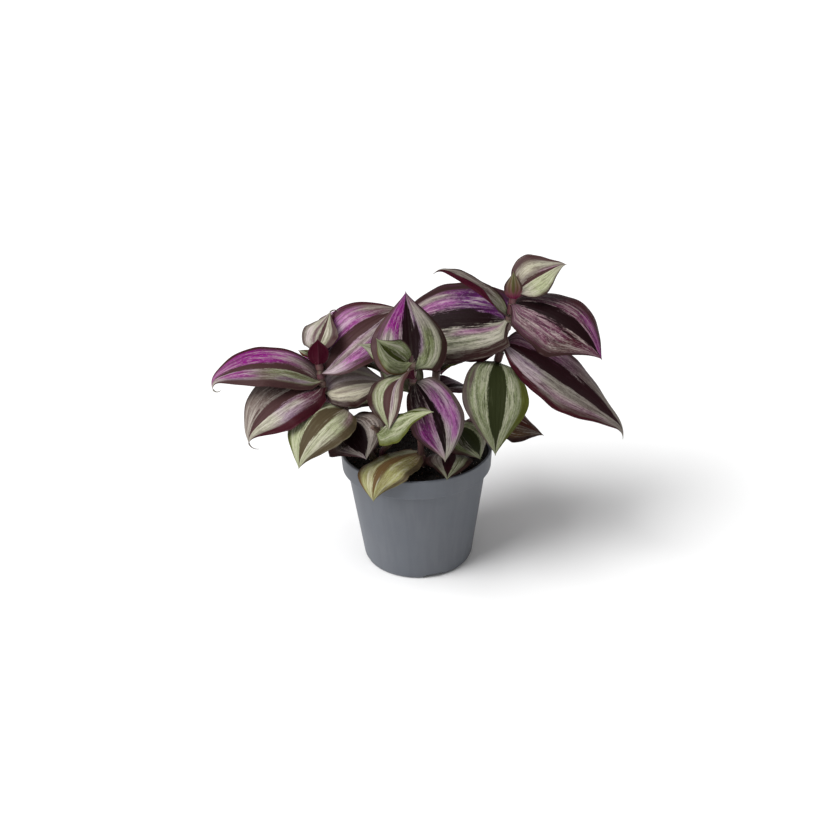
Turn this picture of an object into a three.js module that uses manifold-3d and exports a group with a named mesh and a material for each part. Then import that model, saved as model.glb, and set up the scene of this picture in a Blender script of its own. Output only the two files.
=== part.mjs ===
// A small striped inch plant in a round plastic nursery pot.
// Millimetres, +Z up, the front of the plant towards -Y, the pot centred on the Z axis.
import * as THREE from "three";
import { mergeVertices } from "three/addons/utils/BufferGeometryUtils.js";
import Module from "manifold-3d";

const wasm = await Module();
wasm.setup();

// ---- driving dimensions ----
const RIM_RADIUS = 45;
const POT_HEIGHT = 73;
const COLLAR_DEPTH = 12;
const COLLAR_RADIUS = 44.3;
const SHOULDER_RADIUS = 41.4;
const BASE_RADIUS = 33.2;
const WALL = 1.3;
const LIP_WALL = 1.7;
const FLOOR = 1.4;
const CHANNEL_WIDTH = 11;
const CHANNEL_RISE = 2.5;
const CHANNEL_START = 10;
const CHANNEL_ANGLES = [-74, 16, 106, 196];
const DRAIN_RADIUS = 2.6;
const DRAIN_AT = 24;
const SOIL_EDGE = 69.4;
const SOIL_CROWN = 70.6;
const SOIL_BOTTOM = 4.4;
const STEM_RADIUS = 1.9;
const STEM_TIP_RADIUS = 1.4;
const NODE_SWELL = 0.35;
const GAP = 0.3;
const SHEATH_HEIGHT = 2.6;
const SHEATH_WALL = 0.85;
const BLADE = 0.7;
const BLADE_OFFSET = 2.9;
const SHEATH_GAP = 0.45;

const rad = THREE.MathUtils.degToRad;
const clamp = THREE.MathUtils.clamp;
const vec = (x, y, z) => new THREE.Vector3(x, y, z);

// ---- materials ----
const surface = (color, roughness) =>
  new THREE.MeshStandardMaterial({ color, roughness, metalness: 0 });
const POT_PLASTIC = surface(0x5d6064, 0.55);
const POTTING_SOIL = surface(0x1d1814, 0.95);
const STEM_SKIN = surface(0x6d4a55, 0.5);
const LEAF_MAUVE = surface(0x7a5a78, 0.38);
const LEAF_GREEN = surface(0x84907a, 0.38);
const LEAF_YOUNG = surface(0x5c2438, 0.4);

// ---- solids ----
const solid = (geometry) => {
  const bare = new THREE.BufferGeometry();
  const source = geometry.index ? geometry.toNonIndexed() : geometry;
  bare.setAttribute("position", source.getAttribute("position"));
  const merged = mergeVertices(bare, 1e-4);
  return new wasm.Manifold(
    new wasm.Mesh({
      numProp: 3,
      vertProperties: merged.attributes.position.array,
      triVerts: new Uint32Array(merged.index.array),
    })
  );
};

const meshOf = (body, name, material) => {
  const { vertProperties, triVerts } = body.getMesh();
  const geometry = new THREE.BufferGeometry();
  geometry.setAttribute("position", new THREE.BufferAttribute(vertProperties, 3));
  geometry.setIndex(new THREE.BufferAttribute(triVerts, 1));
  const flat = geometry.toNonIndexed();
  flat.computeVertexNormals();
  const mesh = new THREE.Mesh(flat, material);
  mesh.name = name;
  return mesh;
};

// A profile of [radius, height] pairs turned round the Z axis.
const turned = (profile, segments) => {
  const points = profile.map(([r, z]) => new THREE.Vector2(r, z));
  return solid(new THREE.LatheGeometry(points, segments).rotateX(Math.PI / 2));
};

// A closed skin over a list of rings that hold the same number of points each.
const skinned = (rings) => {
  const out = [];
  const n = rings[0].length;
  const face = (a, b, c) => out.push(a.x, a.y, a.z, b.x, b.y, b.z, c.x, c.y, c.z);
  for (let i = 0; i + 1 < rings.length; i++) {
    for (let j = 0; j < n; j++) {
      const k = (j + 1) % n;
      face(rings[i][j], rings[i][k], rings[i + 1][k]);
      face(rings[i][j], rings[i + 1][k], rings[i + 1][j]);
    }
  }
  const cap = (ring, turn) => {
    const middle = ring.reduce((sum, p) => sum.add(p), vec(0, 0, 0)).divideScalar(n);
    for (let j = 0; j < n; j++) {
      const k = (j + 1) % n;
      if (turn) face(middle, ring[k], ring[j]);
      else face(middle, ring[j], ring[k]);
    }
  };
  cap(rings[0], true);
  cap(rings[rings.length - 1], false);
  const geometry = new THREE.BufferGeometry();
  geometry.setAttribute("position", new THREE.Float32BufferAttribute(out, 3));
  return solid(geometry);
};

// ---- pot ----
const bar = (width, from, to, low, high, angle) => {
  const box = new THREE.BoxGeometry(to - from, width, high - low);
  box.translate((from + to) / 2, 0, (low + high) / 2);
  return solid(box.rotateZ(rad(angle)));
};

const makePot = () => {
  const under = POT_HEIGHT - COLLAR_DEPTH;
  const shell = turned(
    [
      [0, 0],
      [BASE_RADIUS - 2.4, 0],
      [BASE_RADIUS - 0.7, 0.8],
      [BASE_RADIUS + 0.1, 2.8],
      [SHOULDER_RADIUS, under - 0.3],
      [COLLAR_RADIUS, under + 0.4],
      [RIM_RADIUS - 0.1, POT_HEIGHT - 1.4],
      [RIM_RADIUS, POT_HEIGHT - 0.7],
      [RIM_RADIUS - 0.4, POT_HEIGHT],
      [RIM_RADIUS - LIP_WALL + 0.3, POT_HEIGHT],
      [RIM_RADIUS - LIP_WALL, POT_HEIGHT - 0.6],
      [COLLAR_RADIUS - WALL, under + 1.8],
      [SHOULDER_RADIUS - WALL, under - 0.6],
      [BASE_RADIUS - WALL + 0.1, 3.4],
      [BASE_RADIUS - WALL - 1.2, FLOOR + 0.4],
      [BASE_RADIUS - WALL - 2.6, FLOOR],
      [0, FLOOR],
    ],
    44
  );
  let pot = shell;
  for (const angle of CHANNEL_ANGLES) {
    const width = CHANNEL_WIDTH + 2 * FLOOR;
    const top = CHANNEL_RISE + FLOOR;
    pot = pot.add(bar(width, CHANNEL_START - FLOOR, BASE_RADIUS - 1, 0.5, top, angle));
  }
  for (const angle of CHANNEL_ANGLES) {
    pot = pot.subtract(bar(CHANNEL_WIDTH, CHANNEL_START, BASE_RADIUS + 4, -1, CHANNEL_RISE, angle));
    const drain = new THREE.CylinderGeometry(DRAIN_RADIUS, DRAIN_RADIUS, 12, 16);
    drain.rotateX(Math.PI / 2);
    drain.translate(DRAIN_AT * Math.cos(rad(angle)), DRAIN_AT * Math.sin(rad(angle)), 0);
    pot = pot.subtract(solid(drain));
  }
  return pot;
};

// ---- stems: smooth curves through a few points, root first ----
const STEMS = {
  right: [
    [24, 7, 60], [28, 6, 74], [38, 5, 96], [46, 5, 118],
    [51, 6, 136], [54.5, 8, 150], [57.5, 8.5, 170],
  ],
  left: [
    [-22, -3, 60], [-26, -4, 74], [-40, -7, 89], [-50, -6, 103],
    [-53, -5, 117], [-54.5, -3, 129], [-58, -1, 139],
  ],
  centre: [
    [3, -18, 60], [3, -21, 74], [2, -25, 98], [-1, -29, 120],
    [-1, -31, 132], [-2, -30, 143],
  ],
  low_left: [
    [-22, -10, 60], [-27, -11, 74], [-38, -13, 88], [-41.5, -14, 98],
    [-39, -14, 106.6],
  ],
  low_front: [
    [-18, -10, 60], [-20, -12, 74], [-15.5, -19, 84], [-14, -28, 94],
    [-19, -37, 101], [-24, -41.5, 106.5],
  ],
  low_right: [
    [16, -22, 60], [19, -20, 74], [22, -12, 84], [23, -7, 91],
  ],
  low_back: [
    [22, 18, 60], [26, 19, 73], [35, 21, 79], [44, 23, 84],
  ],
  back_left: [
    [-12, 12, 60], [-14, 16, 80], [-18, 26, 105], [-22, 34, 125],
    [-24, 38, 138],
  ],
  back_right: [
    [8, 16, 60], [10, 21, 82], [13, 31, 107], [17, 41, 128],
    [19, 45, 140],
  ],
};

const curveOf = (key) => {
  const points = STEMS[key].map(([x, y, z]) => vec(x, y, z));
  return new THREE.CatmullRomCurve3(points, false, "catmullrom", 0.5);
};

// The place along a stem that lies at a given height.
const placeAt = (curve, height) => {
  let low = 0;
  let high = 1;
  for (let i = 0; i < 40; i++) {
    const middle = (low + high) / 2;
    if (curve.getPoint(middle).z < height) low = middle;
    else high = middle;
  }
  return low;
};

// A round rod along a stretch of a curve.
const rod = (curve, from, to, radius, steps, sides) => {
  const rings = [];
  for (let i = 0; i <= steps; i++) {
    const t = from + ((to - from) * i) / steps;
    const centre = curve.getPoint(clamp(t, 0, 1));
    const along = curve.getTangent(clamp(t, 0, 1));
    if (t < 0 || t > 1) centre.addScaledVector(along, (t < 0 ? t : t - 1) * curve.getLength());
    const side = vec(0, 1, 0).addScaledVector(along, -along.y).normalize();
    const other = along.clone().cross(side);
    const ring = [];
    for (let j = 0; j < sides; j++) {
      const a = (2 * Math.PI * j) / sides;
      const r = radius(clamp(t, 0, 1));
      const spoke = side.clone().multiplyScalar(r * Math.cos(a));
      ring.push(spoke.addScaledVector(other, r * Math.sin(a)).add(centre));
    }
    rings.push(ring);
  }
  return skinned(rings);
};

const stemRadius = (t) => STEM_RADIUS + (STEM_TIP_RADIUS - STEM_RADIUS) * t * t;

// ---- leaves: the stem, the height of the node on it, and the pose and form of the blade ----
// Heading and rise of the base in degrees, length and width in mm, droop and swing over the length,
// fold of each half at the midrib, curl of the half, roll and twist about the midrib, hook of the
// tip, belly is the place of the greatest width, lobe how far the base reaches back beside the stem.
const LEAVES = [
  {
    name: "leaf_right_1", on: "right", at: 163.6, heading: 17, rise: 30, length: 33, width: 29,
    droop: 12, swing: -12, fold: 36, roll: 36, hook: 30, belly: 0.36, lobe: 0.03, skin: LEAF_GREEN,
  },
  {
    name: "leaf_right_bud", on: "right", at: 159.8, heading: -97, rise: 52, length: 18, width: 10.5,
    droop: -45, fold: 18, curl: 20, wave: 0, belly: 0.42, skin: LEAF_YOUNG,
  },
  {
    name: "leaf_right_3", on: "right", at: 149.6, heading: -167, rise: 40, length: 54.5, width: 18.5,
    droop: 8, fold: 55, roll: -44, twist: 62, hook: 75, belly: 0.55, lobe: 0, skin: LEAF_GREEN,
  },
  {
    name: "leaf_right_4", on: "right", at: 156.4, heading: -23, rise: 1, length: 62.5, width: 46,
    droop: 56, swing: -12, fold: -8, roll: 34, belly: 0.52, lobe: 0.12, skin: LEAF_MAUVE,
  },
  {
    name: "leaf_right_5", on: "right", at: 132.8, heading: -1, rise: -27, length: 98.5, width: 46,
    droop: 24, fold: 12, roll: 26, hook: 45, belly: 0.4, lobe: 0.04, skin: LEAF_MAUVE,
  },
  {
    name: "leaf_right_6", on: "right", at: 146.4, heading: 170, rise: 4, length: 74.5, width: 54,
    droop: 34, fold: 12, roll: -42, belly: 0.46, lobe: 0.22, skin: LEAF_MAUVE,
  },
  {
    name: "leaf_right_7", on: "right", at: 128.9, heading: 163, rise: -5, length: 39.5, width: 24,
    droop: 28, fold: 14, roll: -4, skin: LEAF_MAUVE,
  },
  {
    name: "leaf_right_8", on: "right", at: 122.2, heading: -95, rise: 3, length: 65.5, width: 38,
    droop: 85, fold: 8, curl: 30, roll: -13, belly: 0.5, bend: 1.1, lobe: 0.03, skin: LEAF_GREEN,
  },
  {
    name: "leaf_right_9", on: "low_back", at: 81, heading: 14, rise: -17, length: 46.5, width: 34,
    droop: 20, fold: 20, roll: 25, skin: LEAF_MAUVE,
  },
  {
    name: "leaf_left_1", on: "left", at: 117.3, heading: -170, rise: 34, length: 69.5, width: 28,
    droop: 70, fold: 22, curl: 50, roll: -34, hook: 75, belly: 0.48, skin: LEAF_MAUVE,
  },
  {
    name: "leaf_left_2", on: "left", at: 113.7, heading: -149, rise: 7, length: 58, width: 39,
    droop: 70, fold: 20, curl: 50, roll: -25, hook: 30, belly: 0.5, skin: LEAF_MAUVE,
  },
  {
    name: "leaf_left_3", on: "low_left", at: 104.2, heading: -131, rise: 12, length: 51, width: 42,
    droop: 95, fold: 12, roll: -6, belly: 0.42, lobe: 0.04, skin: LEAF_GREEN,
  },
  {
    name: "leaf_left_4", on: "left", at: 134.6, heading: 60, rise: 37, length: 25, width: 24,
    droop: -14, curl: 30, belly: 0.34, skin: LEAF_GREEN,
  },
  {
    name: "leaf_left_5", on: "left", at: 131, heading: 157, rise: 19, length: 12, width: 14,
    droop: 20, fold: 20, roll: 10, wave: 0, belly: 0.4, skin: LEAF_GREEN,
  },
  {
    name: "leaf_left_bud", on: "left", at: 127.2, heading: -83, rise: 61, length: 22.5, width: 12,
    droop: 6, fold: 30, wave: 0, belly: 0.36, skin: LEAF_YOUNG,
  },
  {
    name: "leaf_left_6", on: "left", at: 122.1, heading: 24, rise: 48, length: 60.5, width: 38,
    droop: 40, fold: 18, roll: 22, twist: 34, belly: 0.5, lobe: 0, skin: LEAF_MAUVE,
  },
  {
    name: "leaf_left_8", on: "left", at: 110.2, heading: 8, rise: 20, length: 39, width: 34,
    droop: 40, fold: 20, roll: 26, skin: LEAF_MAUVE,
  },
  {
    name: "leaf_centre_1", on: "centre", at: 134, heading: 96, rise: 38, length: 45, width: 43,
    droop: -32, fold: 15, curl: 50, belly: 0.36, lobe: 0.16, skin: LEAF_GREEN,
  },
  {
    name: "leaf_centre_2", on: "centre", at: 139, heading: -152, rise: 22, length: 27, width: 20,
    droop: -40, fold: 38, roll: -85, belly: 0.45, skin: LEAF_GREEN,
  },
  {
    name: "leaf_centre_3", on: "centre", at: 130, heading: -147, rise: 5, length: 38.5, width: 34,
    droop: 90, swing: 70, fold: 36, roll: 30, lobe: 0.04, skin: LEAF_GREEN,
  },
  {
    name: "leaf_centre_4", on: "low_front", at: 102.6, heading: -52, rise: 44, length: 57.5, width: 28,
    droop: 30, fold: -29, curl: 10, roll: 30, belly: 0.34, skin: LEAF_GREEN,
  },
  {
    name: "leaf_centre_5", on: "centre", at: 126, heading: -27, rise: -45, length: 50, width: 30.5,
    droop: 48, fold: 18, roll: 50, belly: 0.52, lobe: 0.05, skin: LEAF_MAUVE,
  },
  {
    name: "leaf_centre_6", on: "centre", at: 120.6, heading: 108, rise: 37, length: 43.5, width: 22,
    droop: 16, swing: 85, fold: 20, roll: -20, skin: LEAF_GREEN,
  },
  {
    name: "leaf_rim_1", on: "low_left", at: 95, heading: -60, rise: 3, length: 31, width: 38,
    droop: 60, fold: 4, curl: 20, roll: 30, belly: 0.5, lobe: 0.03, skin: LEAF_MAUVE,
  },
  {
    name: "leaf_rim_2", on: "centre", at: 77.5, heading: -160, rise: 3, length: 49.5, width: 34,
    droop: 112, swing: 62, fold: -9, curl: 10, roll: 3, belly: 0.54, bend: 3.3, skin: LEAF_GREEN,
  },
  {
    name: "leaf_rim_4", on: "low_right", at: 76, heading: -96, rise: 13, length: 31.5, width: 27,
    droop: 32, fold: 18, skin: LEAF_MAUVE,
  },
  {
    name: "leaf_rim_5", on: "low_right", at: 88, heading: -41, rise: -8, length: 25.5, width: 34,
    droop: 70, fold: 16, roll: 2, belly: 0.45, skin: LEAF_GREEN,
  },
  {
    name: "leaf_back_1", on: "back_left", at: 134, heading: 140, rise: 15, length: 54, width: 32,
    droop: 60, skin: LEAF_MAUVE,
  },
  {
    name: "leaf_back_2", on: "back_left", at: 127, heading: 100, rise: 5, length: 50, width: 32,
    droop: 55, skin: LEAF_GREEN,
  },
  {
    name: "leaf_back_3", on: "back_left", at: 118, heading: 165, rise: 10, length: 62, width: 38,
    droop: 60, roll: -15, skin: LEAF_MAUVE,
  },
  {
    name: "leaf_back_4", on: "back_left", at: 108, heading: 95, rise: 5, length: 55, width: 36,
    droop: 60, skin: LEAF_GREEN,
  },
  {
    name: "leaf_back_5", on: "back_right", at: 136, heading: 50, rise: 8, length: 52, width: 32,
    droop: 60, skin: LEAF_MAUVE,
  },
  {
    name: "leaf_back_6", on: "back_right", at: 129, heading: 98, rise: 12, length: 50, width: 32,
    droop: 60, skin: LEAF_GREEN,
  },
  {
    name: "leaf_back_7", on: "back_right", at: 122, heading: 22, rise: 5, length: 56, width: 36,
    droop: 60, roll: 12, skin: LEAF_MAUVE,
  },
  {
    name: "leaf_back_8", on: "back_right", at: 106, heading: 85, rise: 0, length: 52, width: 36,
    droop: 60, skin: LEAF_GREEN,
  },
  {
    name: "leaf_back_9", on: "back_left", at: 94, heading: 178, rise: 0, length: 46, width: 34,
    droop: 60, skin: LEAF_GREEN,
  },
  {
    name: "leaf_back_10", on: "back_right", at: 94, heading: 40, rise: 0, length: 44, width: 34,
    droop: 50, skin: LEAF_MAUVE,
  },
  {
    name: "leaf_back_11", on: "back_right", at: 111.6, heading: -172, rise: 5, length: 21, width: 23,
    droop: 30, skin: LEAF_GREEN,
  },
];

const FORM = {
  swing: 0, fold: 25, curl: 40, roll: 0, twist: 0,
  hook: 0, wave: 1, phase: 0, belly: 0.38, bend: 1.2, lobe: 0.1,
};
const STATIONS = [0, 0.08, 0.2, 0.35, 0.51, 0.67, 0.81, 0.92, 1];
const ACROSS = [-1, -0.5, 0, 0.5, 1];

// Half width of a blade along its length: round at the base, drawn out to a point.
const outline = (t, belly) => {
  if (t < belly) return 0.15 + 0.85 * Math.sqrt(1 - (1 - t / belly) ** 2);
  return (1 - ((t - belly) / (1 - belly)) ** 1.8) ** 1.35;
};

// Direction of the midrib, by its heading and pitch at a place along it.
const courseOf = (leaf, t) => {
  const hook = leaf.hook * clamp((t - 0.85) / 0.15, 0, 1) ** 1.5;
  const heading = rad(leaf.heading + leaf.swing * t);
  const pitch = rad(leaf.rise - leaf.droop * t ** leaf.bend - hook);
  const ahead = vec(Math.cos(heading), Math.sin(heading), 0);
  const along = ahead.multiplyScalar(Math.cos(pitch)).setZ(Math.sin(pitch));
  return { along, flat: vec(-Math.sin(heading), Math.cos(heading), 0) };
};

const midribOf = (leaf, start) => {
  const steps = 200;
  const points = [start.clone()];
  for (let i = 0; i < steps; i++) {
    const { along } = courseOf(leaf, (i + 0.5) / steps);
    points.push(points[i].clone().addScaledVector(along, leaf.length / steps));
  }
  const outward = vec(Math.cos(rad(leaf.heading)), Math.sin(rad(leaf.heading)), 0);
  return (t) => {
    const place = points[Math.round(t * steps)].clone();
    return place.addScaledVector(outward, BLADE_OFFSET * (1 - t) ** 3);
  };
};

const bladeOf = (leaf, start) => {
  const midrib = midribOf(leaf, start);
  const rings = STATIONS.map((t) => {
    const { along, flat } = courseOf(leaf, t);
    const up = along.clone().cross(flat);
    const roll = rad(leaf.roll + leaf.twist * t);
    const side = flat.clone().multiplyScalar(Math.cos(roll)).addScaledVector(up, Math.sin(roll));
    const out = along.clone().cross(side);
    const half = Math.max((outline(t, leaf.belly) * leaf.width) / 2, 0.45);
    const base = clamp(1 - t / 0.15, 0, 1);
    const lobe = leaf.lobe * leaf.width * clamp(1 - t / 0.3, 0, 1) * Math.min(1, t / 0.06);
    const row = ACROSS.map((v) => {
      const angle = rad(leaf.fold + 10 * base - (leaf.curl * Math.abs(v)) / 2);
      const turn = 2 * Math.PI * (1.6 * t + (v > 0 ? 0.5 : 0) + leaf.phase);
      const wave = leaf.wave * v * v * Math.sin(turn) * Math.min(1, 4 * t * (1 - t));
      const lift = half * Math.abs(v) * Math.sin(angle) + wave;
      const reach = half * v * Math.cos(angle);
      const place = midrib(t).addScaledVector(side, reach).addScaledVector(out, lift);
      return place.addScaledVector(along, -lobe * v * v);
    });
    return { row, out, side };
  });
  const faces = [];
  const face = (a, b, c) => faces.push(a.x, a.y, a.z, b.x, b.y, b.z, c.x, c.y, c.z);
  const skinOf = (offset) =>
    rings.map(({ row, out, side }) =>
      row.map((p, j) => {
        const ahead = row[Math.min(j + 1, row.length - 1)];
        const behind = row[Math.max(j - 1, 0)];
        const across = ahead.clone().sub(behind);
        const normal = out.clone().multiplyScalar(across.dot(side));
        normal.addScaledVector(side, -across.dot(out)).normalize();
        return p.clone().addScaledVector(normal, offset);
      })
    );
  const upper = skinOf(BLADE / 2);
  const lower = skinOf(-BLADE / 2);
  const last = ACROSS.length - 1;
  for (let i = 0; i + 1 < rings.length; i++) {
    for (let j = 0; j < last; j++) {
      face(upper[i][j], upper[i + 1][j], upper[i + 1][j + 1]);
      face(upper[i][j], upper[i + 1][j + 1], upper[i][j + 1]);
      face(lower[i][j], lower[i + 1][j + 1], lower[i + 1][j]);
      face(lower[i][j], lower[i][j + 1], lower[i + 1][j + 1]);
    }
    face(upper[i][0], lower[i][0], lower[i + 1][0]);
    face(upper[i][0], lower[i + 1][0], upper[i + 1][0]);
    face(upper[i][last], lower[i + 1][last], lower[i][last]);
    face(upper[i][last], upper[i + 1][last], lower[i + 1][last]);
  }
  const end = rings.length - 1;
  for (let j = 0; j < last; j++) {
    face(upper[0][j], upper[0][j + 1], lower[0][j + 1]);
    face(upper[0][j], lower[0][j + 1], lower[0][j]);
    face(upper[end][j], lower[end][j + 1], upper[end][j + 1]);
    face(upper[end][j], lower[end][j], lower[end][j + 1]);
  }
  const geometry = new THREE.BufferGeometry();
  geometry.setAttribute("position", new THREE.Float32BufferAttribute(faces, 3));
  return solid(geometry);
};

// ---- assembly ----
const plant = new THREE.Group();
plant.name = "potted_inch_plant";
plant.add(meshOf(makePot(), "pot", POT_PLASTIC));

const under = POT_HEIGHT - COLLAR_DEPTH;
let soil = turned(
  [
    [0, SOIL_BOTTOM],
    [BASE_RADIUS - WALL - GAP, SOIL_BOTTOM],
    [SHOULDER_RADIUS - WALL - GAP - 0.1, under - 0.6],
    [COLLAR_RADIUS - WALL - GAP - 0.1, under + 2],
    [COLLAR_RADIUS - WALL - GAP + 0.1, SOIL_EDGE],
    [36, SOIL_EDGE + 0.7],
    [20, SOIL_CROWN - 0.2],
    [0, SOIL_CROWN],
  ],
  36
);

for (const key of Object.keys(STEMS)) {
  const curve = curveOf(key);
  const steps = 2 * (STEMS[key].length - 1);
  const nodes = LEAVES.filter((leaf) => leaf.on === key).map((leaf) => placeAt(curve, leaf.at));
  const swollen = (t) => {
    const near = nodes.map((n) => Math.exp(-(((t - n + 0.02) * 30) ** 2)));
    return stemRadius(t) + NODE_SWELL * Math.max(0, ...near);
  };
  plant.add(meshOf(rod(curve, 0, 1, swollen, steps, 8), "stem_" + key, STEM_SKIN));
  soil = soil.subtract(rod(curve, -0.01, 1, (t) => swollen(t) + GAP + 0.1, steps + 1, 8));
}
plant.add(meshOf(soil, "soil", POTTING_SOIL));

for (const row of LEAVES) {
  const leaf = { ...FORM, ...row };
  const curve = curveOf(leaf.on);
  const place = placeAt(curve, leaf.at);
  const reach = curve.getLength();
  const sheath = rod(
    curve,
    place,
    place + SHEATH_HEIGHT / reach,
    (t) => stemRadius(t) + NODE_SWELL + SHEATH_GAP + SHEATH_WALL,
    1,
    8
  );
  const clear = rod(
    curve,
    place - 9 / reach,
    place + 14 / reach,
    (t) => stemRadius(t) + NODE_SWELL + SHEATH_GAP,
    3,
    8
  );
  const blade = bladeOf(leaf, curve.getPoint(place + SHEATH_HEIGHT / 2 / reach));
  const pieces = blade.add(sheath).subtract(clear).decompose();
  pieces.sort((a, b) => b.volume() - a.volume());
  plant.add(meshOf(pieces[0], leaf.name, leaf.skin));
}

export default plant;
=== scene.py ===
"""Looks of a small striped inch plant in a round grey nursery pot.

Lengths in this file are millimetres until mesh_of() turns them into metres. +Z is up, the front is
towards -Y and the pot stands on the Z axis. The pot, the soil, every stem and every leaf replace the
plain solid of the same name and keep its form.
"""

import bpy
import numpy as np
from mathutils import Matrix, Vector


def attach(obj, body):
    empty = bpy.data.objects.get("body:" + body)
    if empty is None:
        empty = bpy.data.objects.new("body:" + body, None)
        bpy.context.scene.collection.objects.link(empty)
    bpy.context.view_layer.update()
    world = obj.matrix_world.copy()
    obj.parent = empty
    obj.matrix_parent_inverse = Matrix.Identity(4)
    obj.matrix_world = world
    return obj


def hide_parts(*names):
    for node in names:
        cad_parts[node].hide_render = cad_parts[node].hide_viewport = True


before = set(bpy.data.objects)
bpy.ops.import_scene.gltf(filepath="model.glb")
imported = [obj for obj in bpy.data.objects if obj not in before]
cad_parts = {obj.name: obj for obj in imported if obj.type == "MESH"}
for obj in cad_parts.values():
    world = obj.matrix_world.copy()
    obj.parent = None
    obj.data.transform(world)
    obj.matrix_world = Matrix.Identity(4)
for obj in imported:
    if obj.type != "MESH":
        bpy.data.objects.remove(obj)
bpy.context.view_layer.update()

MM = 0.001
radians = np.radians

# ---------------------------------------------------------------- driving dimensions, mm
RIM_RADIUS = 45
POT_HEIGHT = 73
COLLAR_DEPTH = 12
COLLAR_RADIUS = 44.3
SHOULDER_RADIUS = 41.4
BASE_RADIUS = 33.2
WALL = 1.3
LIP_WALL = 1.7
FLOOR = 1.4
CHANNEL_WIDTH = 11
CHANNEL_RISE = 2.5
CHANNEL_START = 10
CHANNEL_ANGLES = (-74, 16, 106, 196)
DRAIN_RADIUS = 2.6
DRAIN_AT = 24
SOIL_EDGE = 69.4
SOIL_CROWN = 70.6
SOIL_BOTTOM = 4.4
GAP = 0.3
STEM_RADIUS = 1.9
STEM_TIP_RADIUS = 1.4
NODE_SWELL = 0.35
SHEATH_HEIGHT = 2.6
SHEATH_LENGTH = 6
BLADE_OFFSET = 2.9

# ---------------------------------------------------------------- how finely the pieces are drawn
POT_SIDES = 240
SOIL_SIDES = 220
STEM_ROWS, STEM_SIDES = 150, 20
ROWS, COLUMNS = 120, 37

# ---------------------------------------------------------------- camera of the photograph
FRAME_SIDE = 840
FOCAL_PX = 1023
VIEW_RISE = 26.2
VIEW_DISTANCE = 600
VIEW_ROLL = -1.11
VIEW_AIM = (2.46, 0, 89.4)
SENSOR = 36


def make_camera():
    """Looks at the aim from the front and VIEW_RISE degrees above the horizon. The focal length in pixels
    becomes one for the sensor."""
    data = bpy.data.cameras.new("camera")
    data.sensor_width = SENSOR
    data.lens = FOCAL_PX / FRAME_SIDE * SENSOR
    data.clip_start, data.clip_end = 0.05, 60
    camera = bpy.data.objects.new("camera", data)
    rise = radians(VIEW_RISE)
    back = Vector((0, -np.cos(rise), np.sin(rise)))
    camera.location = (Vector(VIEW_AIM) + back * VIEW_DISTANCE) * MM
    turn = (-back).to_track_quat("-Z", "Y").to_matrix().to_4x4()
    roll = Matrix.Rotation(radians(VIEW_ROLL), 4, "Z")
    camera.rotation_euler = (turn @ roll).to_euler()
    bpy.context.scene.collection.objects.link(camera)
    bpy.context.scene.camera = camera


# ---------------------------------------------------------------- meshes
class Shells:
    """Closed shells gathered for one piece: points in mm, faces, a finish number a face, values a point."""

    def __init__(self):
        self.points, self.faces, self.finishes = [], [], []
        self.values = {}
        self.count = 0

    def add(self, points, faces, finish=0, **values):
        """Adds points and the faces between them. A value is given for every point or once for all."""
        points = np.asarray(points, float).reshape(-1, 3)
        self.points.append(points)
        self.faces.append(np.asarray(faces) + self.count)
        self.finishes.append(np.full(len(faces), finish))
        for name, value in values.items():
            value = np.asarray(value, float)
            spread = np.broadcast_to(value.reshape(-1, value.shape[-1]), (len(points), value.shape[-1]))
            self.values.setdefault(name, []).append(spread)
        self.count += len(points)

    def add_tube(self, rings, finish=0, flip=False, **values):
        """A skin woven over rings of points, row by row, with a flat face across each end."""
        rows, sides = rings.shape[:2]
        first = self.count + np.arange(sides)
        last = first + (rows - 1) * sides
        self.add(rings, woven(rows, sides, ring=True, flip=flip), finish, **values)
        self.faces += [first[None], last[None, ::-1]] if flip else [first[None, ::-1], last[None]]
        self.finishes += [np.full(1, finish)] * 2


def mesh_of(shells, name, finishes, smooth=True):
    """One mesh object at the origin, in metres, from gathered shells."""
    points = np.vstack(shells.points) * MM
    corners = np.concatenate([f.ravel() for f in shells.faces])
    sizes = np.concatenate([np.full(len(f), f.shape[1]) for f in shells.faces])
    mesh = bpy.data.meshes.new(name)
    mesh.vertices.add(len(points))
    mesh.vertices.foreach_set("co", points.astype(np.float32).ravel())
    mesh.loops.add(len(corners))
    mesh.loops.foreach_set("vertex_index", corners.astype(np.int32))
    mesh.polygons.add(len(sizes))
    starts = np.concatenate([[0], np.cumsum(sizes)[:-1]])
    mesh.polygons.foreach_set("loop_start", starts.astype(np.int32))
    mesh.polygons.foreach_set("use_smooth", np.full(len(sizes), smooth))
    mesh.polygons.foreach_set("material_index", np.concatenate(shells.finishes).astype(np.int32))
    for finish in finishes:
        mesh.materials.append(finish)
    for key, stack in shells.values.items():
        value = np.vstack(stack)
        kind, field = ("FLOAT_COLOR", "color") if value.shape[1] == 4 else ("FLOAT_VECTOR", "vector")
        attribute = mesh.attributes.new(key, kind, "POINT")
        attribute.data.foreach_set(field, value.astype(np.float32).ravel())
    mesh.update(calc_edges=True)
    mesh.validate()
    piece = bpy.data.objects.new(name, mesh)
    bpy.context.scene.collection.objects.link(piece)
    return piece


def woven(rows, columns, ring=False, loop=False, flip=False):
    """Quads of a grid of points, row by row. ring closes the columns, loop closes the rows."""
    i = np.arange(rows if loop else rows - 1)[:, None]
    j = np.arange(columns if ring else columns - 1)[None]
    a = i * columns + j
    b = i * columns + (j + 1) % columns
    c = (i + 1) % rows * columns + (j + 1) % columns
    d = (i + 1) % rows * columns + j
    quads = np.stack([a, b, c, d], -1).reshape(-1, 4)
    return quads[:, ::-1] if flip else quads


def place_piece(piece, slot, *nodes):
    """Makes a finished piece ride on the root body in place of its nodes. The slot is not used."""
    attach(piece, "root")
    if nodes:
        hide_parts(*nodes)


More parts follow.
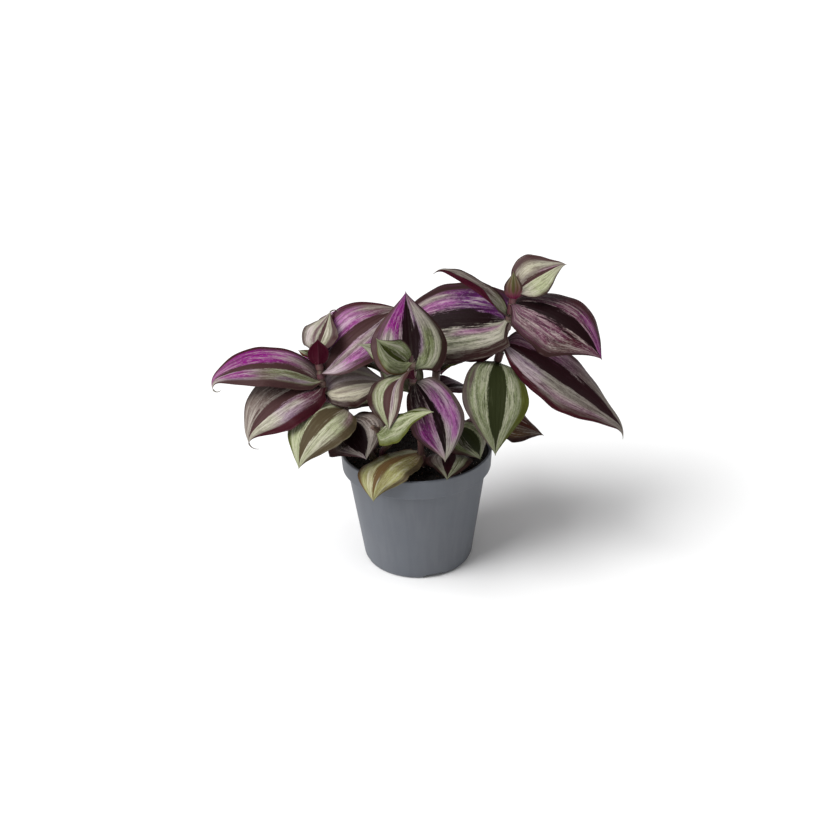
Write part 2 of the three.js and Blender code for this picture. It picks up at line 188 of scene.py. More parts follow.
def unit(vectors):
    """The same directions with length 1."""
    return vectors / np.maximum(np.linalg.norm(vectors, axis=-1, keepdims=True), 1e-9)


def around(sides):
    """Angles of the points of a ring, in radians."""
    return np.linspace(0, 2 * np.pi, sides, endpoint=False)


def eased(x, low, high):
    """0 below low, 1 above high, and a smooth step between."""
    x = np.clip((x - low) / (high - low), 0, 1)
    return x * x * (3 - 2 * x)


def within(x, low, high, soft):
    """1 between low and high and 0 outside, with soft edges."""
    return eased(x, low - soft, low + soft) * eased(-x, -high - soft, -high + soft)


def lumps(x, y, size, seed, waves=24):
    """Uneven ground between about -1 and 1: the sum of plane waves of random heading, length and phase."""
    draw = np.random.default_rng(seed)
    heading = draw.uniform(0, 2 * np.pi, waves)
    length = size * draw.uniform(0.6, 2.2, waves)
    phase = draw.uniform(0, 2 * np.pi, waves)
    k = 2 * np.pi / length
    total = sum(
        np.cos(k[i] * (x * np.cos(heading[i]) + y * np.sin(heading[i])) + phase[i]) for i in range(waves)
    )
    return total / np.sqrt(waves) / 1.4


# ---------------------------------------------------------------- finishes
LIT_SHARE = 0.65
RICHER = 1.25


def tone(red, green, blue):
    """A colour given in screen numbers, 0 to 255, as the linear values that a shader takes."""
    c = np.array([red, green, blue]) / 255
    return np.where(c <= 0.04045, c / 12.92, ((c + 0.055) / 1.055) ** 2.4)


def skin(red, green, blue):
    """The same for a colour seen on a leaf in the light. The leaf itself is darker by LIT_SHARE, and
    richer by RICHER than it looks under its sheen."""
    seen = tone(red, green, blue)
    grey = seen.mean()
    return np.maximum(grey + (seen - grey) * RICHER, 0) * LIT_SHARE


class Value:
    """A socket in a finish, so that maths on it is written as maths."""

    def __init__(self, finish, socket):
        self.finish, self.socket = finish, socket

    def _math(self, operation, *others):
        return self.finish.node("Math", {"operation": operation}, *others)

    def __add__(self, other):
        return self._math("ADD", self, other)

    def __radd__(self, other):
        return self._math("ADD", other, self)

    def __sub__(self, other):
        return self._math("SUBTRACT", self, other)

    def __rsub__(self, other):
        return self._math("SUBTRACT", other, self)

    def __mul__(self, other):
        return self._math("MULTIPLY", self, other)

    def __rmul__(self, other):
        return self._math("MULTIPLY", other, self)

    def step(self, low, high):
        """0 below low, 1 above high, and a smooth step between. High may be the lower number."""
        ends = {"From Min": low, "From Max": high}
        return self.finish.node("MapRange", {"interpolation_type": "SMOOTHSTEP"}, self, **ends)


class Finish:
    """A material in the making. node() adds any node; colours go through mixed()."""

    def __init__(self, name, **constants):
        self.material = bpy.data.materials.new(name)
        self.material.use_nodes = True
        self.tree = self.material.node_tree
        self.shader = self.tree.nodes["Principled BSDF"]
        for socket, value in constants.items():
            self.shader.inputs[socket.replace("_", " ")].default_value = value

    def node(self, kind, settings=None, *inputs, output=0, **named):
        """Adds a ShaderNode of this kind: its settings first, then values or links by order and by name."""
        node = self.tree.nodes.new("ShaderNode" + kind)
        for key, value in (settings or {}).items():
            setattr(node, key, value)
        for key, value in [*enumerate(inputs), *named.items()]:
            self._feed(node.inputs[key], value)
        return Value(self, node.outputs[output])

    def _feed(self, socket, value):
        """Links a Value to a socket, or sets a number or a colour on it."""
        if isinstance(value, Value):
            self.tree.links.new(value.socket, socket)
        elif isinstance(value, (int, float)):
            socket.default_value = value
        else:
            value = list(value)
            wanted = len(socket.default_value)
            socket.default_value = value + [1.0] * (wanted - len(value))

    def mixed(self, share, first, second):
        """Colour first turning to second as share goes from 0 to 1."""
        node = self.node("Mix", {"data_type": "RGBA"}, output=2)
        inputs = node.socket.node.inputs
        self._feed(inputs[0], share)
        self._feed(inputs[6], first)
        self._feed(inputs[7], second)
        return node

    def attribute(self, name, output="Vector"):
        """What a mesh carries at its points under this name."""
        return self.node("Attribute", {"attribute_name": name}, output=output)

    def object_place(self):
        """The place on the piece, in metres."""
        return self.node("TexCoord", output="Object")

    def scaled(self, vector, scale):
        """A vector with each of its three numbers times its own scale."""
        return self.node("Mapping", None, vector, Scale=scale)

    def noise(self, vector, scale=1.0, detail=2.0, roughness=0.5, distortion=0.0):
        """Smooth noise, mostly between 0.3 and 0.7."""
        values = {"Scale": scale, "Detail": detail, "Roughness": roughness, "Distortion": distortion}
        return self.node("TexNoise", None, vector, **values)

    def parts_of(self, vector):
        """The three numbers of a vector."""
        first = self.node("SeparateXYZ", None, vector)
        outputs = first.socket.node.outputs
        return [Value(self, outputs[k]) for k in range(3)]

    def bump(self, height, distance, strength):
        """A normal tilted by a relief. Distance is in metres."""
        return self.node("Bump", None, Strength=strength, Distance=distance, Height=height)

    def drive(self, **sockets):
        """Links what varies over the surface to the shader, and returns the material."""
        for socket, value in sockets.items():
            self._feed(self.shader.inputs[socket.replace("_", " ")], value)
        return self.material


def pot_finish():
    """Injection-moulded matte grey plastic: fine spark-eroded grain, faint flow streaks, light scuffs
    near the rim and at the foot, and some dust just under the rim. Heights are in metres."""
    f = Finish("moulded_grey_plastic", IOR=1.46)
    place = f.object_place()
    grain = f.noise(place, 5200, 3, 0.6)
    cloud = f.noise(place, 38, 3)
    flow = f.noise(f.scaled(place, (260, 260, 9)), 1, 3)
    rub = f.noise(f.scaled(place, (90, 90, 900)), 1, 4, 0.65)
    height = f.parts_of(place)[2]
    worn = height.step(0.060, 0.0728) * 0.5 + height.step(0.006, 0.0) * 0.8
    scuff = rub.step(0.60, 0.78) * (worn + 0.12)
    colour = f.mixed(cloud.step(0.3, 0.7), tone(86, 90, 97), tone(92, 95, 101))
    colour = f.mixed(flow.step(0.42, 0.62) * 0.35, colour, tone(81, 84, 91))
    colour = f.mixed(scuff * 0.6, colour, tone(132, 134, 137))
    dust = f.noise(place, 620, 4, 0.7).step(0.63, 0.75) * 0.5
    colour = f.mixed(dust * height.step(0.0655, 0.0725) * 0.45, colour, tone(58, 50, 44))
    rough = cloud * 0.12 + grain * 0.1 + 0.42 + scuff * 0.15
    normal = f.bump(grain * 0.6 + flow * 0.5 + rub * 0.15, 0.00006, 0.7)
    return f.drive(Base_Color=colour, Roughness=rough, Normal=normal)


def soil_finish():
    """Damp peat: near black, with brown fibres and a few paler grains."""
    f = Finish("damp_peat", IOR=1.4)
    place = f.object_place()
    coarse = f.noise(place, 420, 5, 0.65)
    fine = f.noise(place, 1700, 4, 0.7)
    fibre = f.noise(f.scaled(place, (700, 2300, 700)), 1, 4, 0.6, 0.6)
    colour = f.mixed(coarse.step(0.35, 0.7), tone(13, 10, 8), tone(30, 22, 17))
    colour = f.mixed(fibre.step(0.58, 0.72) * 0.6, colour, tone(62, 44, 30))
    colour = f.mixed(fine.step(0.66, 0.74) * 0.5, colour, tone(88, 74, 58))
    rough = fine * 0.25 + 0.68
    normal = f.bump(coarse + fine * 0.5, 0.0006, 0.9)
    return f.drive(Base_Color=colour, Roughness=rough, Normal=normal)


def grit_finish(name, dark, pale):
    """Loose grains of one stuff: a mottled colour between two tones."""
    f = Finish(name, IOR=1.4)
    place = f.object_place()
    mottle = f.noise(place, 900, 4, 0.6)
    fine = f.noise(place, 3800, 2)
    colour = f.mixed(mottle.step(0.36, 0.66), dark, pale)
    return f.drive(Base_Color=colour, Roughness=fine * 0.2 + 0.7, Normal=f.bump(fine, 0.0002, 0.8))


def stem_finish():
    """Juicy green stem, flushed and speckled with purple, in fine lengthwise streaks."""
    f = Finish("stem_skin", IOR=1.42)
    grain = f.attribute("grain")
    flush = f.noise(f.scaled(grain, (0.22, 0.05, 1)), 1, 3)
    streak = f.noise(f.scaled(grain, (2.6, 0.10, 1)), 1, 3, 0.6)
    speck = f.noise(f.scaled(grain, (2.6, 1.1, 1)), 1, 2)
    colour = f.mixed(flush.step(0.32, 0.66), skin(112, 104, 84), skin(98, 58, 70))
    colour = f.mixed(streak.step(0.42, 0.66) * 0.7, colour, skin(66, 28, 42))
    colour = f.mixed(speck.step(0.60, 0.68) * 0.65, colour, skin(58, 16, 36))
    near = f.attribute("band", "Color")
    colour = f.mixed(f.attribute("band", "Alpha"), colour, near)
    normal = f.bump(streak + speck * 0.4, 0.00012, 0.7)
    return f.drive(Base_Color=colour, Roughness=streak * 0.2 + 0.34, Normal=normal)


def blade_maps(f):
    """The noises that every leaf skin shares. Grain is mm across at the belly and mm along, so that
    streaks follow the veins into the tip."""
    grain = f.attribute("grain")
    long = f.noise(f.scaled(grain, (0.42, 0.03, 1)), 1, 3, 0.5)
    streak = f.noise(f.scaled(grain, (0.9, 0.075, 1)), 1, 5, 0.66)
    fine = f.noise(f.scaled(grain, (2.0, 0.16, 1)), 1, 4, 0.65)
    fleck = f.noise(f.scaled(grain, (1.6, 0.6, 1)), 1, 3, 0.6)
    cloud = f.noise(f.scaled(grain, (0.16, 0.06, 1)), 1, 3)
    return long, streak, fine, fleck, cloud


def leaf_face_finish():
    """Upper skin: silver, sage, mauve or magenta bands between a dark heart stripe and dark margins, all
    broken into pale and dark streaks along the veins. The pale streaks are the leaf's own silver with a
    painted highlight in them, and the pale flecks are painted glints."""
    f = Finish("leaf_face", IOR=1.45, Specular_IOR_Level=0.08, Coat_Roughness=0.3)
    long, streak, fine, fleck, cloud = blade_maps(f)
    band, heart, margin = (f.attribute(name, "Color") for name in ("band", "heart", "margin"))
    from_heart, into_margin, vein = f.parts_of(f.attribute("zones"))
    sway = (long - 0.5) * 0.5 + (streak - 0.5) * 0.3 + (fleck - 0.5) * 0.12
    heart_mask = (from_heart + sway * 0.8).step(0.035, -0.035)
    margin_mask = (into_margin + sway).step(-0.09, 0.09)
    # Pale: the band turned towards near-white, for the silver streaks and the painted highlight on them.
    pale = f.mixed(0.48, band, skin(236, 228, 220))
    dark = f.mixed(0.72, band, heart)
    lit = f.mixed(long.step(0.50, 0.62) * 0.4, band, pale)
    lit = f.mixed(streak.step(0.52, 0.62) * 0.8, lit, pale)
    lit = f.mixed(long.step(0.48, 0.38) * 0.45, lit, dark)
    lit = f.mixed(streak.step(0.47, 0.38) * 0.8, lit, dark)
    lit = f.mixed(fine.step(0.46, 0.36) * 0.7, lit, dark)
    # Painted glints: pale flecks for the sparkle of light on the silver cells.
    lit = f.mixed(fleck.step(0.54, 0.66) * 0.35, lit, pale)
    lit = f.mixed(fleck.step(0.44, 0.34) * 0.4, lit, dark)
    deep = f.mixed(streak.step(0.54, 0.72) * 0.4, heart, f.mixed(0.3, heart, band))
    rim = f.mixed(streak.step(0.52, 0.70) * 0.5, margin, f.mixed(0.4, margin, band))
    rim = f.mixed(fine.step(0.46, 0.34) * 0.5, rim, f.mixed(0.6, rim, skin(30, 16, 16)))
    colour = f.mixed(heart_mask, lit, deep)
    colour = f.mixed(margin_mask, colour, rim)
    colour = f.mixed(vein * 0.6, colour, f.mixed(0.7, colour, heart))
    rough = 0.33 + cloud * 0.14 + fine * 0.12 + heart_mask * 0.04
    ridge = streak * 0.8 + fine * 0.4 + fleck * 0.2 - vein * 0.6
    normal = f.bump(ridge, 0.00035, 0.7)
    coat = (1 - heart_mask) * 0.05
    return f.drive(Base_Color=colour, Roughness=rough, Normal=normal, Coat_Weight=coat)


def leaf_back_finish():
    """Lower skin: wine purple, paler along the veins, duller than the face."""
    f = Finish("leaf_back", IOR=1.42, Specular_IOR_Level=0.09)
    long, streak, fine, fleck, cloud = blade_maps(f)
    back = f.attribute("back", "Color")
    vein = f.parts_of(f.attribute("zones"))[2]
    colour = f.mixed(cloud.step(0.3, 0.7) * 0.5, back, f.mixed(0.45, back, skin(96, 66, 70)))
    colour = f.mixed(streak.step(0.45, 0.3) * 0.6, colour, f.mixed(0.5, colour, skin(26, 6, 14)))
    colour = f.mixed(long.step(0.55, 0.7) * 0.4, colour, f.mixed(0.5, colour, skin(150, 110, 120)))
    colour = f.mixed(vein * 0.5, colour, f.mixed(0.4, colour, skin(150, 110, 118)))
    rough = 0.42 + cloud * 0.15 + fleck * 0.08
    normal = f.bump(streak + fine * 0.5 + vein * 0.9, 0.00025, 0.6)
    return f.drive(Base_Color=colour, Roughness=rough, Normal=normal)


# ---------------------------------------------------------------- pot
CORNER_REACH = 0.45
CORNER_SHARE = 0.45
CORNER_STEPS = 5


def rounded(profile):
    """A profile whose corners are drawn as quadratic arcs. An arc starts and ends CORNER_REACH from its
    corner, or CORNER_SHARE of a side that is too short for that."""
    p = np.array(profile, float)
    out = [p[0]]
    for before, corner, after in zip(p, p[1:], p[2:]):
        near = min(CORNER_REACH, CORNER_SHARE * np.linalg.norm(corner - before))
        far = min(CORNER_REACH, CORNER_SHARE * np.linalg.norm(after - corner))
        first = corner + unit(before - corner) * near
        last = corner + unit(after - corner) * far
        for s in np.linspace(0, 1, CORNER_STEPS):
            out.append(first * (1 - s) ** 2 + corner * 2 * s * (1 - s) + last * s * s)
    out.append(p[-1])
    return np.array(out)


def spaced(profile, step):
    """The same profile with points no further apart than step."""
    out = [profile[0]]
    for a, b in zip(profile, profile[1:]):
        n = max(1, int(np.ceil(np.linalg.norm(b - a) / step)))
        out += [a + (b - a) * k / n for k in range(1, n + 1)]
    return np.array(out)


def in_channel(x, y):
    """1 on the four radial channels under the floor, 0 away from them, with drafted sides."""
    inside = np.zeros_like(x)
    for angle in CHANNEL_ANGLES:
        ahead = x * np.cos(radians(angle)) + y * np.sin(radians(angle))
        aside = np.abs(y * np.cos(radians(angle)) - x * np.sin(radians(angle)))
        across = eased(-aside, -CHANNEL_WIDTH / 2 - 0.5, -CHANNEL_WIDTH / 2 + 0.3)
        inside = np.maximum(inside, across * eased(ahead, CHANNEL_START - 0.6, CHANNEL_START + 0.6))
    return inside


def pot_profile():
    """Half the pot's cross-section as radius and height: out along the underside, up the wall, over the
    rim and back down the inside to the middle of the floor."""
    under = POT_HEIGHT - COLLAR_DEPTH
    outer = [
        [0, 0],
        [BASE_RADIUS - 2.4, 0],
        [BASE_RADIUS - 0.7, 0.8],
        [BASE_RADIUS + 0.1, 2.8],
        [SHOULDER_RADIUS, under - 0.3],
        [COLLAR_RADIUS, under + 0.4],
        [RIM_RADIUS - 0.1, POT_HEIGHT - 1.4],
        [RIM_RADIUS, POT_HEIGHT - 0.7],
        [RIM_RADIUS - 0.4, POT_HEIGHT],
    ]
    inner = [
        [RIM_RADIUS - LIP_WALL + 0.3, POT_HEIGHT],
        [RIM_RADIUS - LIP_WALL, POT_HEIGHT - 0.6],
        [COLLAR_RADIUS - WALL, under + 1.8],
        [SHOULDER_RADIUS - WALL, under - 0.6],
        [BASE_RADIUS - WALL + 0.1, 3.4],
        [BASE_RADIUS - WALL - 1.2, FLOOR + 0.4],
        [BASE_RADIUS - WALL - 2.6, FLOOR],
        [0, FLOOR],
    ]
    return spaced(rounded(outer + inner), 1.5)


def make_pot(finish):
    """The profile turned round Z. Its floor, and the wall's foot, are lifted over the channels."""
    profile = pot_profile()
    inward = np.arange(len(profile)) > np.argmax(profile[:, 1] >= POT_HEIGHT - 0.01)
    angle = around(POT_SIDES)
    radius = np.maximum(profile[:, :1], 0.02)
    x, y = radius * np.cos(angle), radius * np.sin(angle)
    z = np.repeat(profile[:, 1:], POT_SIDES, 1)
    lift = np.where(inward[:, None], CHANNEL_RISE + FLOOR, CHANNEL_RISE)
    z = np.where(z < lift, z + (lift - z) * in_channel(x, y), z)
    shells = Shells()
    shells.add_tube(np.stack([x, y, z], -1))
    pot = mesh_of(shells, "pot_shell", [finish])
    cut_drains(pot, finish)
    pot.data.set_sharp_from_angle(angle=radians(40))
    place_piece(pot, "pot_plastic", "pot")


def cut_drains(pot, finish):
    """Cuts the drain holes, one in each channel, with upright cylinders from below the pot's foot to
    above its floor."""
    sides = 32
    circle = np.stack([np.cos(around(sides)), np.sin(around(sides))], -1)
    cutter = Shells()
    for place in CHANNEL_ANGLES:
        centre = DRAIN_AT * np.array([np.cos(radians(place)), np.sin(radians(place))])
        ring = centre + DRAIN_RADIUS * circle
        cutter.add_tube(np.stack([np.c_[ring, np.full(sides, height)] for height in (-3, 9)]))
    drill = mesh_of(cutter, "drill", [finish])
    cut = pot.modifiers.new("drains", "BOOLEAN")
    cut.object, cut.operation, cut.solver = drill, "DIFFERENCE", "EXACT"
    bpy.context.view_layer.update()
    whole = pot.evaluated_get(bpy.context.evaluated_depsgraph_get())
    pot.data = bpy.data.meshes.new_from_object(whole)
    pot.modifiers.clear()
    bpy.data.objects.remove(drill)


# ---------------------------------------------------------------- soil
# The crowned surface: distances from the middle and the heights there.
GROUND_AT = (0, 20, 36, 42.9)
GROUND_HEIGHT = (SOIL_CROWN, SOIL_CROWN - 0.2, SOIL_EDGE + 0.7, SOIL_EDGE)
# How far the lumpy ground and the middles of the crumbs lie under that surface.
GROUND_SINK = 0.35
CRUMB_SINK = 0.3
CRUMB_FLATNESS = 0.7
# How far from the middle crumbs and fibres lie at most, and how far out a fibre may start.
CRUMB_REACH = 41.5
FIBRE_REACH = 41
FIBRE_START = 38
FIBRES = 150


def ground(radius):
    """Height of the plain crowned soil surface at a distance from the middle."""
    return np.interp(radius, GROUND_AT, GROUND_HEIGHT)


def swell(x, y):
    """The broad lumps that the ground and all that lies on it share."""
    return 0.42 * lumps(x, y, 6, 3)


def make_soil(finish):
    """A crowned disc of ground with broad and fine lumps that fade towards its edge, closed by the
    plug's sides and bottom."""
    under = POT_HEIGHT - COLLAR_DEPTH
    edge = COLLAR_RADIUS - WALL - GAP
    rings = np.concatenate([np.linspace(0.05, edge - 0.1, 70), [edge, edge - 0.1]])
    angle = around(SOIL_SIDES)
    x, y = rings[:, None] * np.cos(angle), rings[:, None] * np.sin(angle)
    rough = swell(x, y) + 0.26 * lumps(x, y, 2.2, 4) + 0.12 * lumps(x, y, 1.1, 5)
    z = ground(rings)[:, None] + rough * eased(-rings, -edge, -edge + 3)[:, None] - GROUND_SINK
    z[-2] = SOIL_EDGE - 0.8
    z[-1] = under + 2
    skirt = np.array([
        (SHOULDER_RADIUS - WALL - GAP - 0.1, under - 0.6),
        (BASE_RADIUS - WALL - GAP, SOIL_BOTTOM),
        (0.05, SOIL_BOTTOM),
    ])
    x = np.vstack([x, skirt[:, :1] * np.cos(angle)])
    y = np.vstack([y, skirt[:, :1] * np.sin(angle)])
    z = np.vstack([z, np.repeat(skirt[:, 1:], SOIL_SIDES, 1)])
    shells = Shells()
    shells.add_tube(np.stack([x, y, z], -1), flip=True)
    place_piece(mesh_of(shells, "soil_ground", [finish]), "potting_soil", "soil")


def crumb_shape():
    """A ball of 20 triangles: the corners of an icosahedron."""
    g = (1 + 5 ** 0.5) / 2
    corners = [(-1, g, 0), (1, g, 0), (-1, -g, 0), (1, -g, 0), (0, -1, g), (0, 1, g)]
    corners += [(0, -1, -g), (0, 1, -g), (g, 0, -1), (g, 0, 1), (-g, 0, -1), (-g, 0, 1)]
    faces = [(0, 11, 5), (0, 5, 1), (0, 1, 7), (0, 7, 10), (0, 10, 11), (1, 5, 9), (5, 11, 4)]
    faces += [(11, 10, 2), (10, 7, 6), (7, 1, 8), (3, 9, 4), (3, 4, 2), (3, 2, 6), (3, 6, 8)]
    faces += [(3, 8, 9), (4, 9, 5), (2, 4, 11), (6, 2, 10), (8, 6, 7), (9, 8, 1)]
    return unit(np.array(corners, float)), np.array(faces)


def scatter(name, finish, count, small, large, seed):
    """Crumbs strewn over the soil, many small and few large: each a ball with its corners pulled in or
    out, its own turn, and pressed flatter."""
    draw = np.random.default_rng(seed)
    ball, faces = crumb_shape()
    radius = CRUMB_REACH * np.sqrt(draw.uniform(0, 1, count))
    angle = draw.uniform(0, 2 * np.pi, count)
    size = small + (large - small) * draw.uniform(0, 1, count) ** 2.5
    shape = ball[None] * draw.uniform(0.6, 1.15, (count, len(ball), 1))
    shape = shape * draw.uniform(0.6, 1.2, (count, 1, 3))
    turn, _ = np.linalg.qr(draw.normal(size=(count, 3, 3)))
    turn[np.linalg.det(turn) < 0] *= -1
    shape = np.einsum("nij,nkj->nki", turn, shape) * size[:, None, None] / 2
    shape[..., 2] *= CRUMB_FLATNESS
    x, y = radius * np.cos(angle), radius * np.sin(angle)
    z = ground(radius) - CRUMB_SINK + swell(x, y) + size * 0.16
    centre = np.stack([x, y, z], -1)
    shells = Shells()
    stacked = faces[None] + (np.arange(count) * len(ball))[:, None, None]
    shells.add(centre[:, None] + shape, stacked.reshape(-1, 3))
    place_piece(mesh_of(shells, name, [finish], smooth=False), "potting_soil")


def make_fibres(finish):
    """Short peat fibres: three-sided threads bent in an arc, lying on the ground."""
    draw = np.random.default_rng(31)
    steps = 7
    s = np.linspace(0, 1, steps)
    turn = around(3)
    shells = Shells()
    for _ in range(FIBRES):
        radius = FIBRE_START * np.sqrt(draw.uniform())
        bearing, heading, bend = draw.uniform(0, 2 * np.pi, 3)
        length, thick = draw.uniform(2.5, 8), draw.uniform(0.08, 0.2)
        course = heading + (bend / np.pi - 1) * 1.2 * s
        step = length / steps * np.stack([np.cos(course), np.sin(course)], -1)
        path = np.cumsum(step, 0) + radius * np.array([np.cos(bearing), np.sin(bearing)])
        far = np.hypot(path[:, 0], path[:, 1])
        path *= np.minimum(1, FIBRE_REACH / far)[:, None]
        z = ground(np.minimum(far, FIBRE_REACH)) + swell(path[:, 0], path[:, 1])
        z = z + draw.uniform(-0.2, 0.5) + draw.uniform(0, 0.6) * np.sin(np.pi * s)
        aside = np.stack([-np.sin(course), np.cos(course)], -1)
        girth = thick * (1.05 - np.abs(2 * s - 1) ** 3)
        ring = aside[:, None] * np.cos(turn)[None, :, None] * girth[:, None, None]
        height = z[:, None] + np.sin(turn)[None] * girth[:, None]
        shells.add_tube(np.concatenate([path[:, None] + ring, height[..., None]], -1), flip=True)
    place_piece(mesh_of(shells, "soil_fibres", [finish]), "potting_soil")


# ---------------------------------------------------------------- stems
STEMS = {
    "right": [
        (24, 7, 60), (28, 6, 74), (38, 5, 96), (46, 5, 118),
        (51, 6, 136), (54.5, 8, 150), (57.5, 8.5, 170),
    ],
    "left": [
        (-22, -3, 60), (-26, -4, 74), (-40, -7, 89), (-50, -6, 103),
        (-53, -5, 117), (-54.5, -3, 129), (-58, -1, 139),
    ],
    "centre": [(3, -18, 60), (3, -21, 74), (2, -25, 98), (-1, -29, 120), (-1, -31, 132), (-2, -30, 143)],
    "low_left": [(-22, -10, 60), (-27, -11, 74), (-38, -13, 88), (-41.5, -14, 98), (-39, -14, 106.6)],
    "low_front": [
        (-18, -10, 60), (-20, -12, 74), (-15.5, -19, 84),
        (-14, -28, 94), (-19, -37, 101), (-24, -41.5, 106.5),
    ],
    "low_right": [(16, -22, 60), (19, -20, 74), (22, -12, 84), (23, -7, 91)],
    "low_back": [(22, 18, 60), (26, 19, 73), (35, 21, 79), (44, 23, 84)],
    "back_left": [(-12, 12, 60), (-14, 16, 80), (-18, 26, 105), (-22, 34, 125), (-24, 38, 138)],
    "back_right": [(8, 16, 60), (10, 21, 82), (13, 31, 107), (17, 41, 128), (19, 45, 140)],
}


class Stem:
    """A smooth curve through a stem's points: cubic pieces whose slope at a point is half the step
    between its neighbours."""

    def __init__(self, points):
        p = np.array(points, float)
        self.points = np.vstack([2 * p[0] - p[1], p, 2 * p[-1] - p[-2]])
        self.pieces = len(p) - 1
        fine = self.at(np.linspace(0, 1, 400))
        self.length = np.linalg.norm(np.diff(fine, axis=0), axis=1).sum()

    def at(self, t):
        """Points at shares t of the way along."""
        s = np.clip(np.atleast_1d(t), 0, 1) * self.pieces
        i = np.minimum(s.astype(int), self.pieces - 1)
        w = (s - i)[:, None]
        p0, p1, p2, p3 = (self.points[i + k] for k in range(4))
        m0, m1 = (p2 - p0) / 2, (p3 - p1) / 2
        return (
            (2 * w**3 - 3 * w**2 + 1) * p1 + (w**3 - 2 * w**2 + w) * m0
            + (3 * w**2 - 2 * w**3) * p2 + (w**3 - w**2) * m1
        )

    def along(self, t):
        """Directions at t."""
        t = np.clip(np.atleast_1d(t), 0.001, 0.999)
        return unit(self.at(t + 0.001) - self.at(t - 0.001))

    def place(self, height):
        """Where along the stem it reaches a height."""
        t = np.linspace(0, 1, 2000)
        return float(np.interp(height, self.at(t)[:, 2], t))

    def radius(self, t):
        """Thinner towards the tip, by the square of t."""
        return STEM_RADIUS + (STEM_TIP_RADIUS - STEM_RADIUS) * np.clip(t, 0, 1) ** 2

    def frame(self, t):
        """Two directions square to the stem: the one nearest +Y, and the one across it."""
        along = self.along(t)
        side = unit(np.array([0, 1.0, 0]) - along * along[:, 1:2])
        return side, np.cross(along, side)

    def spokes(self, t, turn):
        """Directions out from the stem at each place t, turned round it by each angle."""
        side, other = self.frame(t)
        return side[:, None] * np.cos(turn)[:, None] + other[:, None] * np.sin(turn)[:, None]


def make_stem(name, stem, nodes, finish):
    """A tube round the curve that swells at each node, with a pale ring under it and a closed round tip."""
    t = np.linspace(0, 1, STEM_ROWS)
    near = np.exp(-(((t[:, None] - np.array(nodes)[None] + 0.02) * 30) ** 2)).max(1)
    radius = stem.radius(t) + NODE_SWELL * near
    round_off = np.sqrt(np.clip((1 - t) * stem.length / STEM_TIP_RADIUS, 0.02, 1))
    radius = radius * round_off
    turn = around(STEM_SIDES)
    ridge = 1 + 0.02 * np.cos(5 * turn)
    tube = stem.at(t)[:, None] + stem.spokes(t, turn) * (radius[:, None] * ridge)[..., None]
    grain = np.zeros((STEM_ROWS, STEM_SIDES, 3))
    grain[..., 0] = np.abs(turn - np.pi) * STEM_RADIUS
    grain[..., 1] = (t * stem.length)[:, None]
    grain[..., 2] = stem.length
    band = np.zeros((STEM_ROWS, STEM_SIDES, 4))
    band[..., :3] = skin(150, 142, 122)
    band[..., 3] = (near * 0.55)[:, None]
    shells = Shells()
    shells.add_tube(tube, grain=grain, band=band)
    place_piece(mesh_of(shells, name + "_shoot", [finish]), "stem_skin", name)


# ---------------------------------------------------------------- leaf colours, as seen
WHITE_PINK = (222, 204, 212)
CREAM = (212, 207, 186)
PALE = (194, 192, 174)
SILVER = (172, 166, 156)
STONE = (140, 129, 122)
SAGE = (146, 152, 122)
GREEN = (126, 134, 98)
LIME = (176, 182, 148)
LILAC = (156, 132, 154)
PINK = (190, 120, 182)
MAUVE = (142, 96, 126)
DUSK = (108, 68, 88)
MAGENTA = (146, 54, 134)
VIOLET = (98, 46, 102)
GREY = (96, 84, 80)
TAUPE = (78, 56, 56)
UMBER = (52, 33, 32)
MAROON = (66, 26, 34)
PLUM = (46, 18, 24)
NIGHT = (26, 9, 12)
BLACK_GREEN = (46, 50, 30)
OLIVE = (84, 88, 44)
MOSS = (66, 72, 36)
STRAW = (172, 172, 126)
TAN = (104, 84, 60)
BARK = (82, 72, 56)
RUSSET = (82, 44, 34)
WINE = (78, 19, 39)
WINE_BACK = (72, 24, 42)
DUSKY_BACK = (84, 40, 50)
GREEN_BACK = (96, 92, 70)

